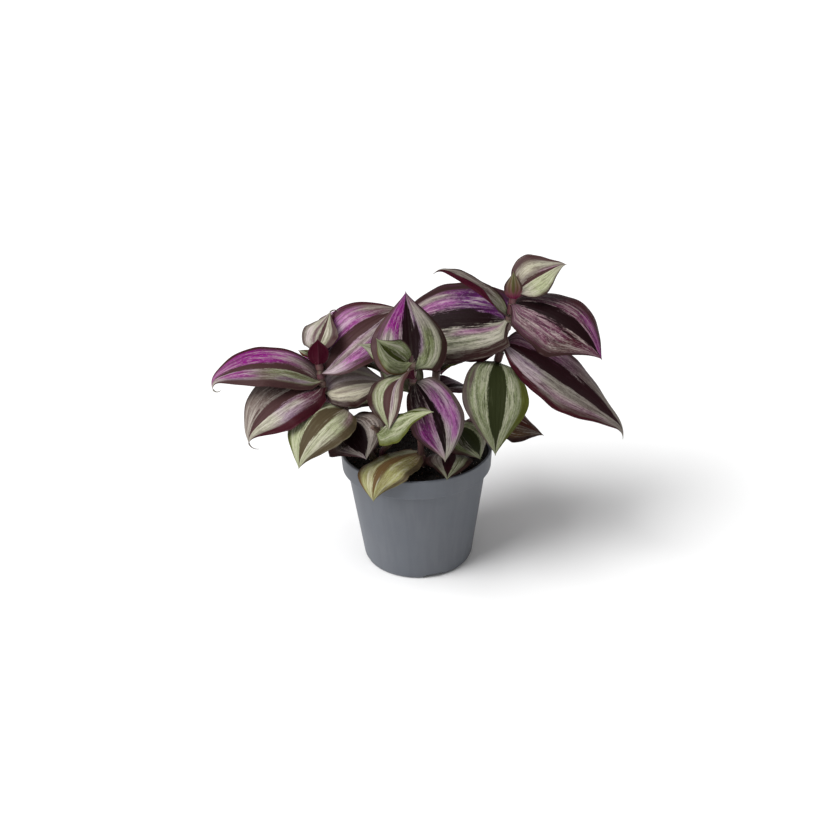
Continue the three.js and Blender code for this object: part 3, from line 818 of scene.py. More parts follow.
# Each leaf has its stem, the height of its node, the heading and rise of its base in degrees, its length
# and width in mm, its form where that differs from FORM, and its look. Plus and minus hold the band
# colours from base to tip on the left and on the right half, seen along the leaf from its base. Then come
# the heart stripe, the margins and the underside. A spot is a colour, where it starts and ends along and
# across the leaf, and its strength; back_spots are on the underside. A thread is the drawn-out tip: its
# length, how far it curls in degrees, and which way.
FORM = dict(
    swing=0, fold=25, curl=40, roll=0, twist=0, hook=0, wave=1, phase=0, belly=0.38, bend=1.2, lobe=0.1,
    heart=PLUM, heart_width=0.2, rim=(UMBER, UMBER), rim_width=(0.2, 0.2), back=WINE_BACK, back_tip=None,
    spots=(), back_spots=(), thread=None,
)
LEAVES = {
    "leaf_right_1": dict(
        on="right", at=163.6, heading=17, rise=30, length=33, width=29, droop=12, swing=-12, fold=36,
        roll=36, hook=30, belly=0.36, lobe=0.03, plus=(SILVER, CREAM, PALE, STONE),
        minus=(SILVER, LIME, LIME, SILVER), heart=TAUPE, heart_width=0.1, rim=(TAUPE, UMBER),
        rim_width=(0.3, 0.1), back=DUSKY_BACK,
        spots=(
            (STONE, 0, 0.9, 0.08, 0.3, 0.9), (MAUVE, 0.55, 0.9, 0.05, 0.2, 0.9),
            (RUSSET, -0.1, 0.14, 0.2, 1.1, 0.9), (TAUPE, 0.2, 0.95, 0.6, 0.8, 0.6),
        ),
    ),
    "leaf_right_bud": dict(
        on="right", at=159.8, heading=-97, rise=52, length=18, width=10.5, droop=-45, fold=18, curl=20,
        wave=0, belly=0.42, plus=(WINE, TAN, SAGE), minus=(WINE, TAN, SAGE), heart=MOSS,
        heart_width=0.26, rim=(TAUPE, MAROON), rim_width=(0.3, 0.3), back=(118, 30, 74), back_tip=SAGE,
        spots=(
            (LIME, 0.4, 1.0, 0.34, 0.5, 0.8), (TAUPE, 0.3, 0.9, -0.5, -0.36, 0.8),
            (WINE, -0.1, 0.25, -1.1, 1.1, 0.9),
        ),
        back_spots=(
            (OLIVE, 0.25, 1.0, -0.16, 0.16, 0.9), (TAN, 0.2, 1.0, 0.36, 0.56, 0.9),
            (TAN, 0.2, 1.0, -0.56, -0.36, 0.9), (UMBER, 0.3, 1.0, 0.76, 1.1, 0.8),
            (UMBER, 0.3, 1.0, -1.1, -0.76, 0.8),
        ),
    ),
    "leaf_right_3": dict(
        on="right", at=149.6, heading=-167, rise=40, length=54.5, width=18.5, droop=8, fold=55,
        roll=-44, twist=62, hook=75, belly=0.55, lobe=0, plus=(GREY, TAN, GREY, SILVER),
        minus=(SAGE, GREY, STONE, SILVER), heart=TAUPE, heart_width=0.08,
        rim_width=(0.12, 0.12), back=WINE,
    ),
    "leaf_right_4": dict(
        on="right", at=156.4, heading=-23, rise=1, length=62.5, width=46, droop=56, swing=-12, fold=-8,
        roll=34, belly=0.52, lobe=0.12, plus=(MAROON, DUSK, DUSK, MAGENTA),
        minus=(DUSK, DUSK, MAROON, DUSK), heart=NIGHT, heart_width=0.22, rim=(MAROON, UMBER),
        rim_width=(0.36, 0.16),
        spots=(
            (MAGENTA, 0.62, 0.97, 0.34, 0.66, 0.7), (MAROON, 0.1, 0.6, 0.5, 0.8, 0.6),
            (DUSK, 0.25, 0.6, -0.5, -0.28, 0.7), (STONE, 0.1, 0.3, -0.75, -0.45, 0.4),
            (STONE, 0.5, 0.85, -0.85, -0.6, 0.3),
        ),
    ),
    # The white-pink at the base of the right half is the pale silver band with a painted highlight on it.
    "leaf_right_5": dict(
        on="right", at=132.8, heading=-1, rise=-27, length=98.5, width=46, droop=24, fold=12, roll=26,
        hook=45, belly=0.4, lobe=0.04, plus=(DUSK, MAUVE, STONE, SILVER),
        minus=(WHITE_PINK, SILVER, STONE, SILVER), heart_width=0.3, rim=(MAROON, MAROON),
        rim_width=(0.16, 0.2),
        spots=(
            (LILAC, 0.02, 0.26, -0.5, -0.3, 0.8), (WHITE_PINK, 0.03, 0.24, -0.8, -0.45, 0.9),
            (SILVER, 0.3, 0.55, -0.7, -0.35, 0.6), (MAUVE, 0.25, 0.8, -0.8, -0.6, 0.6),
            (STONE, 0.5, 0.95, 0.3, 0.7, 0.5),
        ),
    ),
    "leaf_right_6": dict(
        on="right", at=146.4, heading=170, rise=4, length=74.5, width=54, droop=34, fold=12, roll=-42,
        belly=0.46, lobe=0.22, plus=(PALE, SILVER, SAGE, PALE), minus=(VIOLET, VIOLET, MAUVE, LILAC),
        heart=NIGHT, heart_width=0.24, rim_width=(0.24, 0.26),
        spots=(
            (MAGENTA, 0.05, 0.42, 0.28, 0.4, 0.7), (GREY, 0.45, 0.95, 0.18, 0.38, 0.9),
            (SAGE, 0.2, 0.7, 0.45, 0.66, 0.7), (PALE, 0.15, 0.8, 0.62, 0.78, 0.7),
            (PINK, 0.4, 0.8, -0.5, -0.3, 0.4), (SILVER, 0.5, 0.85, -0.75, -0.55, 0.8),
        ),
    ),
    "leaf_right_7": dict(
        on="right", at=128.9, heading=163, rise=-5, length=39.5, width=24, droop=28, fold=14, roll=-4,
        plus=(MAROON, TAUPE, UMBER), minus=(TAUPE, DUSK), rim=(MAROON, MAROON),
    ),
    "leaf_right_8": dict(
        on="right", at=122.2, heading=-95, rise=3, length=65.5, width=38, droop=85, fold=8, curl=30,
        roll=-13, belly=0.5, bend=1.1, lobe=0.03, plus=(SAGE, SAGE, SAGE, LIME),
        minus=(SAGE, SAGE, SAGE, SAGE), heart=BLACK_GREEN, heart_width=0.3, rim=(OLIVE, GREY),
        rim_width=(0.26, 0.2), back=GREEN_BACK,
        spots=((PLUM, -0.1, 0.9, -0.05, 0.03, 0.8), (MOSS, 0.0, 0.9, 0.06, 0.22, 0.9)),
    ),
    "leaf_right_9": dict(
        on="low_back", at=81, heading=14, rise=-17, length=46.5, width=34, droop=20, fold=20, roll=25,
        plus=(UMBER, RUSSET, UMBER), minus=(TAN, TAN, UMBER), heart=RUSSET, rim=(MAROON, UMBER),
        back=RUSSET,
    ),
    "leaf_left_1": dict(
        on="left", at=117.3, heading=-170, rise=34, length=69.5, width=28, droop=70, fold=22, curl=50,
        roll=-34, hook=75, belly=0.48, plus=(SAGE, SAGE, STONE, LILAC, PALE),
        minus=(STONE, MAUVE, MAGENTA, MAGENTA, MAUVE), heart=TAUPE, heart_width=0.14,
        rim=(TAUPE, MAROON), rim_width=(0.3, 0.22), thread=(5.4, 130, (0.9, 0, -0.4)),
        spots=(
            (PINK, 0.2, 0.4, -0.8, -0.5, 0.6), (MAGENTA, 0.3, 0.92, -0.6, -0.2, 0.9),
            (GREEN, 0.12, 0.42, 0.16, 0.42, 0.8), (LILAC, 0.1, 0.4, 0.5, 0.68, 0.8),
            (MAGENTA, 0.6, 0.86, 0.2, 0.6, 0.9), (STONE, 0.05, 0.3, -0.7, -0.4, 0.7),
            (MAROON, 0, 0.2, -0.25, 0.02, 0.8), (STONE, 0.1, 0.6, 0.8, 0.88, 0.7),
        ),
    ),
    "leaf_left_2": dict(
        on="left", at=113.7, heading=-149, rise=7, length=58, width=39, droop=70, fold=20, curl=50,
        roll=-25, hook=30, belly=0.5, plus=(MAROON, DUSK, LILAC, PALE, SILVER),
        minus=(TAUPE, GREY, STONE, SILVER), heart=TAUPE, rim=(MAROON, GREY),
        rim_width=(0.3, 0.14), thread=(8, 100, (1, 0, -0.2)),
        spots=(
            (PALE, 0.3, 0.55, 0.3, 0.5, 0.7), (WHITE_PINK, 0.25, 0.5, 0.45, 0.6, 0.5),
            (PALE, 0.6, 0.92, 0.2, 0.62, 0.9), (PLUM, 0, 0.45, 0.72, 1.1, 0.9),
            (UMBER, 0.5, 0.9, 0.75, 0.9, 0.6),
        ),
    ),
    "leaf_left_3": dict(
        on="low_left", at=104.2, heading=-131, rise=12, length=51, width=42, droop=95, fold=12, roll=-6,
        belly=0.42, lobe=0.04, plus=(STONE, LIME, PALE, LIME), minus=(SAGE, LIME, LIME), heart=BARK,
        heart_width=0.22, rim=(BARK, OLIVE), rim_width=(0.28, 0.2), back=GREEN_BACK,
        spots=(
            (TAUPE, -0.1, 0.4, -0.22, 0.2, 0.7), (LIME, 0.35, 0.95, 0.25, 0.5, 0.5),
            (MAUVE, 0, 0.3, 0.6, 0.85, 0.6),
        ),
    ),
    "leaf_left_4": dict(
        on="left", at=134.6, heading=60, rise=37, length=25, width=24, droop=-14, curl=30, belly=0.34,
        plus=(SILVER, PALE, SILVER), minus=(SAGE, PALE, SAGE), heart=TAUPE, heart_width=0.12,
        rim=(GREY, TAUPE), rim_width=(0.16, 0.4), thread=(8, 150, (1, 0, -0.3)),
        spots=((DUSK, 0.1, 0.9, 0.25, 0.42, 0.8), (WHITE_PINK, 0.1, 0.55, 0.5, 0.8, 0.5)),
    ),
    "leaf_left_5": dict(
        on="left", at=131, heading=157, rise=19, length=12, width=14, droop=20, fold=20, roll=10,
        wave=0, belly=0.4, plus=(SAGE, PALE), minus=(TAN, RUSSET), heart=MOSS, rim=(RUSSET, RUSSET),
        back=RUSSET, spots=((LIME, 0.1, 0.9, 0.3, 0.5, 0.8), (MAROON, -0.1, 0.35, -1.1, 1.1, 0.8)),
    ),
    "leaf_left_bud": dict(
        on="left", at=127.2, heading=-83, rise=61, length=22.5, width=12, droop=6, fold=30, wave=0,
        belly=0.36, plus=(WINE, WINE), minus=(WINE, WINE), heart=WINE, rim=(WINE, MAROON), back=WINE,
    ),
    "leaf_left_6": dict(
        on="left", at=122.1, heading=24, rise=48, length=60.5, width=38, droop=40, fold=18, roll=22,
        twist=34, belly=0.5, lobe=0, plus=(PLUM, VIOLET, PINK, DUSK, STONE),
        minus=(WHITE_PINK, PINK, LILAC, STONE), heart=TAUPE, rim=(MAROON, TAUPE),
        rim_width=(0.24, 0.2),
        spots=(
            # The white-pink spot on the pink band of the left half is a painted highlight.
            (WHITE_PINK, 0.3, 0.6, 0.35, 0.5, 0.55), (MAGENTA, 0.3, 0.75, 0.22, 0.36, 0.7),
            (STONE, 0.65, 1.0, 0.5, 1.1, 0.9), (STONE, 0.05, 0.7, -0.45, -0.24, 0.9),
            (PLUM, 0.05, 0.8, -0.2, -0.12, 0.8), (UMBER, 0.0, 0.3, -0.1, 0.3, 0.8),
            (MAGENTA, 0.12, 0.5, -0.62, -0.5, 0.5), (WHITE_PINK, -0.1, 0.14, -0.9, -0.4, 0.9),
        ),
    ),
    # Its cream and pale bands are painted lighter than the leaf: painted light against the shade it lies
    # in.
    "leaf_left_8": dict(
        on="left", at=110.2, heading=8, rise=20, length=39, width=34, droop=40, fold=20, roll=26,
        plus=(LILAC, PALE, PALE, SILVER), minus=(CREAM, CREAM, SILVER), heart=STONE, heart_width=0.14,
        rim=(TAUPE, UMBER), rim_width=(0.24, 0.3),
        spots=(
            (LILAC, 0.2, 0.9, 0.1, 0.3, 0.6), (DUSK, 0.1, 0.6, 0.32, 0.42, 0.7),
            (CREAM, 0.2, 0.7, 0.45, 0.6, 0.6), (LILAC, 0.4, 0.9, 0.5, 0.8, 0.6),
            (TAUPE, 0.1, 0.8, -0.42, -0.32, 0.7),
        ),
    ),
    "leaf_centre_1": dict(
        on="centre", at=134, heading=96, rise=38, length=45, width=43, droop=-32, fold=15, curl=50,
        belly=0.36, lobe=0.16, plus=(SILVER, LILAC, MAGENTA, VIOLET),
        minus=(SAGE, GREEN, SILVER, MAUVE), heart=NIGHT, heart_width=0.21, rim=(TAUPE, UMBER),
        rim_width=(0.24, 0.2),
        spots=(
            (MAUVE, 0.1, 0.55, 0.2, 0.34, 0.9), (SILVER, 0.0, 0.5, 0.4, 0.75, 0.8),
            (MAGENTA, 0.5, 0.96, 0.2, 0.8, 0.8), (LILAC, 0.2, 0.75, -0.36, -0.18, 0.9),
            # The pale streak along the outer right half is a painted highlight on the sage band.
            (PALE, 0.05, 0.6, -0.8, -0.64, 0.8), (GREEN, 0.1, 0.6, -0.62, -0.4, 0.7),
            (SILVER, 0.55, 0.85, -0.7, -0.3, 0.8), (VIOLET, 0.6, 0.95, -0.25, -0.08, 0.8),
            (NIGHT, 0.3, 0.62, -0.26, 0.26, 0.6),
        ),
    ),
    "leaf_centre_2": dict(
        on="centre", at=139, heading=-152, rise=22, length=27, width=20, droop=-40, fold=38, roll=-85,
        belly=0.45, plus=(LIME, LIME, LIME), minus=(GREEN, SAGE, LIME), heart=MOSS, heart_width=0.14,
        rim=(TAN, UMBER), rim_width=(0.14, 0.12),
        spots=((MOSS, 0.1, 0.75, -0.3, 0.16, 0.9), (GREEN, 0.0, 0.5, 0.6, 0.8, 0.6)),
    ),
    "leaf_centre_3": dict(
        on="centre", at=130, heading=-147, rise=5, length=38.5, width=34, droop=90, swing=70, fold=36,
        roll=30, lobe=0.04, plus=(TAUPE, SILVER, PALE), minus=(SAGE, SAGE, LIME), heart=TAUPE,
        heart_width=0.22, rim=(TAUPE, UMBER), rim_width=(0.28, 0.34),
        spots=((LILAC, 0.2, 0.8, 0.3, 0.5, 0.7), (UMBER, 0.0, 0.7, -0.1, 0.3, 0.7)),
    ),
    "leaf_centre_4": dict(
        on="low_front", at=102.6, heading=-52, rise=44, length=57.5, width=28, droop=30, fold=-29,
        curl=10, roll=30, belly=0.34, plus=(GREEN, GREEN, PALE), minus=(GREEN, SAGE, LIME), heart=MOSS,
        heart_width=0.09, rim=(OLIVE, OLIVE), back=GREEN_BACK,
        spots=((OLIVE, 0.0, 0.5, 0.1, 0.6, 0.7), (LIME, 0.3, 0.8, -0.6, -0.2, 0.4)),
    ),
    "leaf_centre_5": dict(
        on="centre", at=126, heading=-27, rise=-45, length=50, width=30.5, droop=48, fold=18, roll=50,
        belly=0.52, lobe=0.05, plus=(SILVER, PINK, WHITE_PINK, PALE), minus=(TAUPE, DUSK, PINK, CREAM),
        heart=NIGHT, heart_width=0.18, rim=(GREY, TAUPE), rim_width=(0.18, 0.2),
        spots=(
            # The near-black spot over the base of the right half is painted shadow, the shade that half
            # lies in.
            (NIGHT, -0.1, 0.36, -1.1, -0.15, 0.8), (PINK, 0.14, 0.5, 0.3, 0.5, 0.8),
            (WHITE_PINK, 0.1, 0.5, 0.5, 0.7, 0.7), (PINK, 0.42, 0.78, 0.42, 0.72, 0.9),
            (STONE, 0.5, 0.76, 0.05, 0.24, 0.8), (MAGENTA, 0.5, 0.82, -0.7, -0.34, 0.8),
            (WHITE_PINK, 0.66, 0.95, -0.5, -0.1, 0.7), (PALE, 0.8, 1.0, 0.1, 0.6, 0.7),
        ),
    ),
    "leaf_centre_6": dict(
        on="centre", at=120.6, heading=108, rise=37, length=43.5, width=22, droop=16, swing=85, fold=20,
        roll=-20, plus=(LIME, PALE, PALE), minus=(LIME, PALE), heart=GREEN, heart_width=0.1,
        rim=(SAGE, UMBER), rim_width=(0.1, 0.12),
        spots=((MOSS, 0.2, 0.9, -0.5, -0.42, 0.7), (MOSS, 0.2, 0.9, 0.4, 0.48, 0.7)),
    ),
    "leaf_rim_1": dict(
        on="low_left", at=95, heading=-60, rise=3, length=31, width=38, droop=60, fold=4, curl=20,
        roll=30, belly=0.5, lobe=0.03, plus=(GREY, STONE, SILVER), minus=(UMBER, STONE, LILAC),
        heart=NIGHT, heart_width=0.34, rim=(UMBER, TAUPE), rim_width=(0.2, 0.32),
        spots=(
            (NIGHT, -0.1, 0.62, -0.62, 0.1, 0.95), (SILVER, 0.7, 1.0, -0.7, -0.2, 0.7),
            (GREY, 0.2, 0.8, 0.35, 0.7, 0.6),
        ),
    ),
    "leaf_rim_2": dict(
        on="centre", at=77.5, heading=-160, rise=3, length=49.5, width=34, droop=112, swing=62, fold=-9,
        curl=10, roll=3, belly=0.54, bend=3.3, plus=(TAN, STRAW, STRAW), minus=(OLIVE, STRAW, STRAW),
        heart=TAN, heart_width=0.12, rim=(BARK, TAN), rim_width=(0.24, 0.2), back=GREEN_BACK,
        spots=(
            (BARK, 0.45, 0.8, -0.1, 0.24, 0.8), (CREAM, 0.6, 1.0, -0.5, -0.12, 0.3),
            (STRAW, 0.1, 0.8, 0.2, 0.6, 0.5),
        ),
    ),
    "leaf_rim_4": dict(
        on="low_right", at=76, heading=-96, rise=13, length=31.5, width=27, droop=32, fold=18,
        plus=(UMBER, SAGE, SAGE), minus=(UMBER, STONE, SAGE), heart_width=0.32,
        rim_width=(0.26, 0.26),
    ),
    "leaf_rim_5": dict(
        on="low_right", at=88, heading=-41, rise=-8, length=25.5, width=34, droop=70, fold=16, roll=2,
        belly=0.45, plus=(GREEN, SAGE, SAGE), minus=(GREEN, GREEN, SAGE), heart=BLACK_GREEN,
        heart_width=0.3, rim=(TAUPE, TAUPE), rim_width=(0.24, 0.24), back=GREEN_BACK,
        spots=((NIGHT, 0.2, 0.7, -0.6, 0.1, 0.8), (SILVER, 0.4, 0.8, 0.4, 0.7, 0.6)),
    ),
    "leaf_back_1": dict(
        on="back_left", at=134, heading=140, rise=15, length=54, width=32, droop=60,
        plus=(DUSK, LILAC, MAGENTA, SILVER), minus=(SILVER, MAUVE, LILAC), rim=(MAROON, UMBER),
        spots=((MAGENTA, 0.3, 0.8, -0.6, -0.3, 0.8), (SILVER, 0.1, 0.5, 0.5, 0.75, 0.8)),
    ),
    "leaf_back_2": dict(
        on="back_left", at=127, heading=100, rise=5, length=50, width=32, droop=55,
        plus=(SAGE, SAGE, SILVER), minus=(SAGE, SILVER, SAGE), heart=BLACK_GREEN, rim=(UMBER, OLIVE),
        spots=((PALE, 0.2, 0.8, 0.5, 0.7, 0.7), (GREEN, 0.1, 0.7, -0.7, -0.5, 0.7)),
    ),
    "leaf_back_3": dict(
        on="back_left", at=118, heading=165, rise=10, length=62, width=38, droop=60, roll=-15,
        plus=(SILVER, LILAC, MAGENTA, LILAC), minus=(DUSK, MAGENTA, MAUVE), rim=(MAROON, MAROON),
        spots=((PALE, 0.1, 0.6, 0.45, 0.7, 0.8), (PINK, 0.4, 0.8, -0.6, -0.35, 0.7)),
    ),
    "leaf_back_4": dict(
        on="back_left", at=108, heading=95, rise=5, length=55, width=36, droop=60,
        plus=(SAGE, SAGE, SAGE), minus=(GREEN, SAGE, SILVER), heart=BLACK_GREEN, rim=(OLIVE, UMBER),
        spots=((LIME, 0.2, 0.9, -0.7, -0.45, 0.6),),
    ),
    "leaf_back_5": dict(
        on="back_right", at=136, heading=50, rise=8, length=52, width=32, droop=60,
        plus=(LILAC, MAUVE, DUSK), minus=(SILVER, LILAC, SILVER), rim=(MAROON, UMBER),
        spots=((MAGENTA, 0.3, 0.9, 0.3, 0.6, 0.8), (PALE, 0.2, 0.7, -0.7, -0.5, 0.7)),
    ),
    "leaf_back_6": dict(
        on="back_right", at=129, heading=98, rise=12, length=50, width=32, droop=60,
        plus=(SILVER, SAGE, SAGE), minus=(SAGE, STONE, SILVER), heart=UMBER,
        spots=((GREEN, 0.1, 0.6, 0.5, 0.75, 0.7), (PALE, 0.3, 0.9, -0.6, -0.4, 0.6)),
    ),
    "leaf_back_7": dict(
        on="back_right", at=122, heading=22, rise=5, length=56, width=36, droop=60, roll=12,
        plus=(DUSK, MAGENTA, LILAC), minus=(STONE, SILVER, MAUVE), rim=(MAROON, MAROON),
        spots=((VIOLET, 0.1, 0.5, 0.3, 0.6, 0.8), (PALE, 0.3, 0.8, -0.7, -0.45, 0.7)),
    ),
    "leaf_back_8": dict(
        on="back_right", at=106, heading=85, rise=0, length=52, width=36, droop=60,
        plus=(GREEN, SAGE, SAGE), minus=(SAGE, SAGE, SILVER), heart=BLACK_GREEN, rim=(OLIVE, OLIVE),
        spots=((LIME, 0.2, 0.9, 0.4, 0.65, 0.6),),
    ),
    "leaf_back_9": dict(
        on="back_left", at=94, heading=178, rise=0, length=46, width=34, droop=60,
        plus=(SAGE, GREEN, SAGE), minus=(SAGE, SILVER, SAGE), heart=MOSS, rim=(UMBER, OLIVE),
        spots=((PALE, 0.3, 0.9, -0.65, -0.45, 0.6),),
    ),
    "leaf_back_10": dict(
        on="back_right", at=94, heading=40, rise=0, length=44, width=34, droop=50,
        plus=(SILVER, LILAC, MAUVE), minus=(GREY, DUSK, LILAC), rim=(UMBER, MAROON),
        spots=((MAGENTA, 0.4, 0.9, -0.6, -0.3, 0.7),),
    ),
    "leaf_back_11": dict(
        on="back_right", at=111.6, heading=-172, rise=5, length=21, width=23, droop=30,
        plus=(MAROON, UMBER), minus=(UMBER, MAROON),
    ),
}

BUDS = ("leaf_right_bud", "leaf_left_bud")
MAUVE_LEAVES = (
    "leaf_right_4", "leaf_right_5", "leaf_right_6", "leaf_right_7", "leaf_right_9", "leaf_left_1",
    "leaf_left_2", "leaf_left_6", "leaf_left_8", "leaf_centre_5", "leaf_rim_1", "leaf_rim_4",
    "leaf_back_1", "leaf_back_3", "leaf_back_5", "leaf_back_7", "leaf_back_10",
)

# ---------------------------------------------------------------- leaves
FACE_FINISH, BACK_FINISH, STEM_FINISH = 0, 1, 2
THICK_AT_MIDRIB = 0.5
THICK_AT_EDGE = 0.16
# A blade's foot reaches CLASP radians round the stem either way, up to CLASP_END of its length.
CLASP = 1.9
CLASP_END = 0.06
# The base is folded up to BASE_FOLD degrees more, and lobed, up to these shares of the length.
BASE_FOLD = 10
BASE_END = 0.15
LOBE_END = 0.3
# Waves along one edge. The ripples on them and the pleats are in mm on a leaf of the usual width.
WAVES = 1.6
RIPPLES = 3.1
RIPPLE = 0.3
PLEAT = 0.16
USUAL_WIDTH = 40
VEINS = 7
# How far the ends of spots run in and out along the veins, as a share of the length.
FRAY = 0.07
HAIRS = 16
HAIR_RADIUS = 0.045
THREAD_RADIUS = 0.5
THREAD_STEPS = 28
# How far a thread's root lies inside the tip of its blade.
THREAD_ROOT = 0.6
SHEATH_SIDES = 36
# Millimetres to a radian round a sheath, for its streaks.
SHEATH_SPREAD = 2.4
# Rows of a sheath, up its outside and down its inside: share of its height, and mm off the stem. The
# mouth is the row at the top of the outside.
SHEATH_ROWS = np.array([
    (0.0, 0.10), (0.1, 0.30), (0.3, 0.34), (0.55, 0.36), (0.8, 0.42), (0.95, 0.5), (1.0, 0.52),
    (1.0, 0.36), (0.9, 0.22), (0.6, 0.12), (0.3, 0.06), (0.0, 0.02),
])
SHEATH_MOUTH = 6


def outline(t, belly):
    """Half width from 0 to 1: a round base up to the belly, then drawn out to a point."""
    base = 0.15 + 0.85 * np.sqrt(np.clip(1 - (1 - t / belly) ** 2, 0, 1))
    tip = np.clip(1 - (np.clip((t - belly) / (1 - belly), 0, 1)) ** 1.8, 0, 1) ** 1.35
    return np.where(t < belly, base, tip)


def outward_of(leaf):
    """The level direction in which a leaf leaves its stem."""
    heading = radians(leaf["heading"])
    return np.array([np.cos(heading), np.sin(heading), 0])


def course_of(leaf, t):
    """Heading and direction of the midrib: the pitch falls by droop over the length and by hook at the
    tip, the heading turns by swing."""
    hook = leaf["hook"] * np.clip((t - 0.85) / 0.15, 0, 1) ** 1.5
    heading = radians(leaf["heading"] + leaf["swing"] * t)
    pitch = radians(leaf["rise"] - leaf["droop"] * t ** leaf["bend"] - hook)
    level = np.cos(pitch)
    return heading, np.stack([np.cos(heading) * level, np.sin(heading) * level, np.sin(pitch)], -1)


def midrib_of(leaf, start, t):
    """Places along the midrib: the sum of its directions from the stem, eased off the stem's middle."""
    steps = 400
    middle = (np.arange(steps) + 0.5) / steps
    _, along = course_of(leaf, middle)
    path = np.vstack([np.zeros(3), np.cumsum(along, 0) * leaf["length"] / steps]) + start
    knots = np.linspace(0, 1, steps + 1)
    place = np.stack([np.interp(t, knots, path[:, k]) for k in range(3)], -1)
    return place + outward_of(leaf) * BLADE_OFFSET * ((1 - t) ** 3)[:, None]


def blade_of(leaf, stem, where):
    """The middle surface of a blade. Each row is a folded and curled cross-section square to the midrib,
    with a soft fold at the midrib, pleats along the veins and rippled edges. Lobe draws the sides of the
    base back beside the stem, and the first rows wrap round the stem as a clasping base."""
    x = np.linspace(0, 1, ROWS)
    t = 0.7 * x + 0.3 * x * x * (3 - 2 * x)
    y = np.linspace(-1, 1, COLUMNS)
    v = 0.72 * y + 0.28 * np.sin(np.pi / 2 * y)
    start = stem.at(where + SHEATH_HEIGHT / 2 / stem.length)[0]
    heading, along = course_of(leaf, t)
    flat = np.stack([-np.sin(heading), np.cos(heading), 0 * heading], -1)
    up = np.cross(along, flat)
    roll = radians(leaf["roll"] + leaf["twist"] * t)[:, None]
    side = flat * np.cos(roll) + up * np.sin(roll)
    out = np.cross(along, side)
    half = np.maximum(outline(t, leaf["belly"]) * leaf["width"] / 2, 0.2)[:, None]
    soft = np.sqrt(v**2 + 0.0025) - 0.05
    base = np.clip(1 - t / BASE_END, 0, 1)[:, None]
    angle = radians(leaf["fold"] + BASE_FOLD * base - leaf["curl"] * np.abs(v) / 2)
    turn = 2 * np.pi * (WAVES * t[:, None] + (v > 0) * 0.5 + leaf["phase"])
    calm = np.minimum(1, 4 * t * (1 - t))[:, None]
    wave = leaf["wave"] * v**2 * np.sin(turn) * calm
    size = leaf["width"] / USUAL_WIDTH
    ripple = RIPPLE * size * leaf["wave"] * v**4 * np.sin(RIPPLES * turn + 2 * v) * calm
    pleat = PLEAT * size * np.cos(VEINS * np.pi * v) * (1 - v**2) * calm * np.sign(leaf["wave"])
    lift = half * soft * np.sin(angle) + wave + ripple + pleat
    reach = half * v * np.cos(angle)
    lobe = leaf["lobe"] * leaf["width"] * np.clip(1 - t / LOBE_END, 0, 1) * np.minimum(1, t / 0.06)
    blade = midrib_of(leaf, start, t)[:, None] + side[:, None] * reach[..., None]
    blade = blade + out[:, None] * lift[..., None]
    blade = blade - along[:, None] * (lobe[:, None] * v**2)[..., None]
    clasp = clasp_of(leaf, stem, where, v)
    share = (np.clip(1 - t / CLASP_END, 0, 1) ** 2)[:, None, None]
    return t, v, blade * (1 - share) + clasp * share


def clasp_of(leaf, stem, where, v):
    """The foot of a blade: an arc round the stem, open at the side away from the leaf."""
    t = where + SHEATH_HEIGHT / 2 / stem.length
    along = stem.along(t)[0]
    outward = outward_of(leaf)
    outward = unit(outward - along * (along @ outward))
    left = np.cross(along, outward)
    radius = stem.radius(t) + NODE_SWELL + 0.35
    turn = CLASP * v[:, None]
    drop = along * (-0.9 * np.abs(v[:, None]) ** 2)
    return stem.at(t)[0] + radius * (outward * np.cos(turn) + left * np.sin(turn)) + drop


def spotted(base, spots, along, v):
    """A colour with soft patches painted over it: each a colour, its two ends from base to tip, its two
    sides, and its strength."""
    for colour, base_end, tip_end, right_edge, left_edge, strength in spots:
        share = within(along, base_end, tip_end, 0.07) * within(v, right_edge, left_edge, 0.06)
        base = base + (skin(*colour) - base) * (strength * share)[..., None]
    return base


def paint_of(leaf, t, v):
    """Colours and zones over a blade: band, heart and margin tints, and how far each point lies from
    the heart stripe, into the margin, and on a vein."""
    plus, minus = (stops(leaf[key], t) for key in ("plus", "minus"))
    which = eased(v, -0.04, 0.04)[None, :, None]
    band = minus[:, None] * (1 - which) + plus[:, None] * which
    fray = FRAY * lumps(v * leaf["width"] / 2, 0 * v, 1.6, leaf["seed"], 12)
    band = spotted(band, leaf["spots"], t[:, None] + fray, v)
    rims = [skin(*colour) for colour in leaf["rim"]]
    margin = rims[1] * (1 - which) + rims[0] * which
    width = np.where(v > 0, leaf["rim_width"][0], leaf["rim_width"][1])[None]
    waist = (0.55 + 0.45 * eased(t, 0.0, 0.3) - 0.75 * eased(t, 0.72, 1.0))[:, None]
    from_heart = np.abs(v)[None] - leaf["heart_width"] * waist
    into_margin = np.abs(v)[None] - (1 - width * (1 - 0.35 * eased(t, 0.8, 1.0))[:, None])
    side_veins = (0.5 - 0.5 * np.cos(VEINS * np.pi * (v + 1))) ** 6
    vein = np.exp(-((v / 0.02) ** 2))[None] * 0.8 + 0.25 * side_veins
    vein = vein * (1 - eased(t, 0.9, 1.0))[:, None]
    shape = (len(t), len(v))
    zones = np.stack([from_heart, into_margin, np.broadcast_to(vein, shape)], -1)
    grain = np.zeros((*shape, 3))
    grain[..., 0] = v * leaf["width"] / 2
    grain[..., 1] = (t * leaf["length"])[:, None]
    grain[..., 2] = leaf["seed"] * 7.31
    heart = np.broadcast_to(skin(*leaf["heart"]), (*shape, 3))
    back = stops((leaf["back"], leaf["back_tip"] or leaf["back"]), t)[:, None]
    back = spotted(np.broadcast_to(back, (*shape, 3)), leaf["back_spots"], t[:, None] + fray, v)
    return dict(
        zones=zones, grain=grain, band=opaque(band), heart=opaque(heart),
        margin=opaque(np.broadcast_to(margin, (*shape, 3))), back=opaque(back),
    )


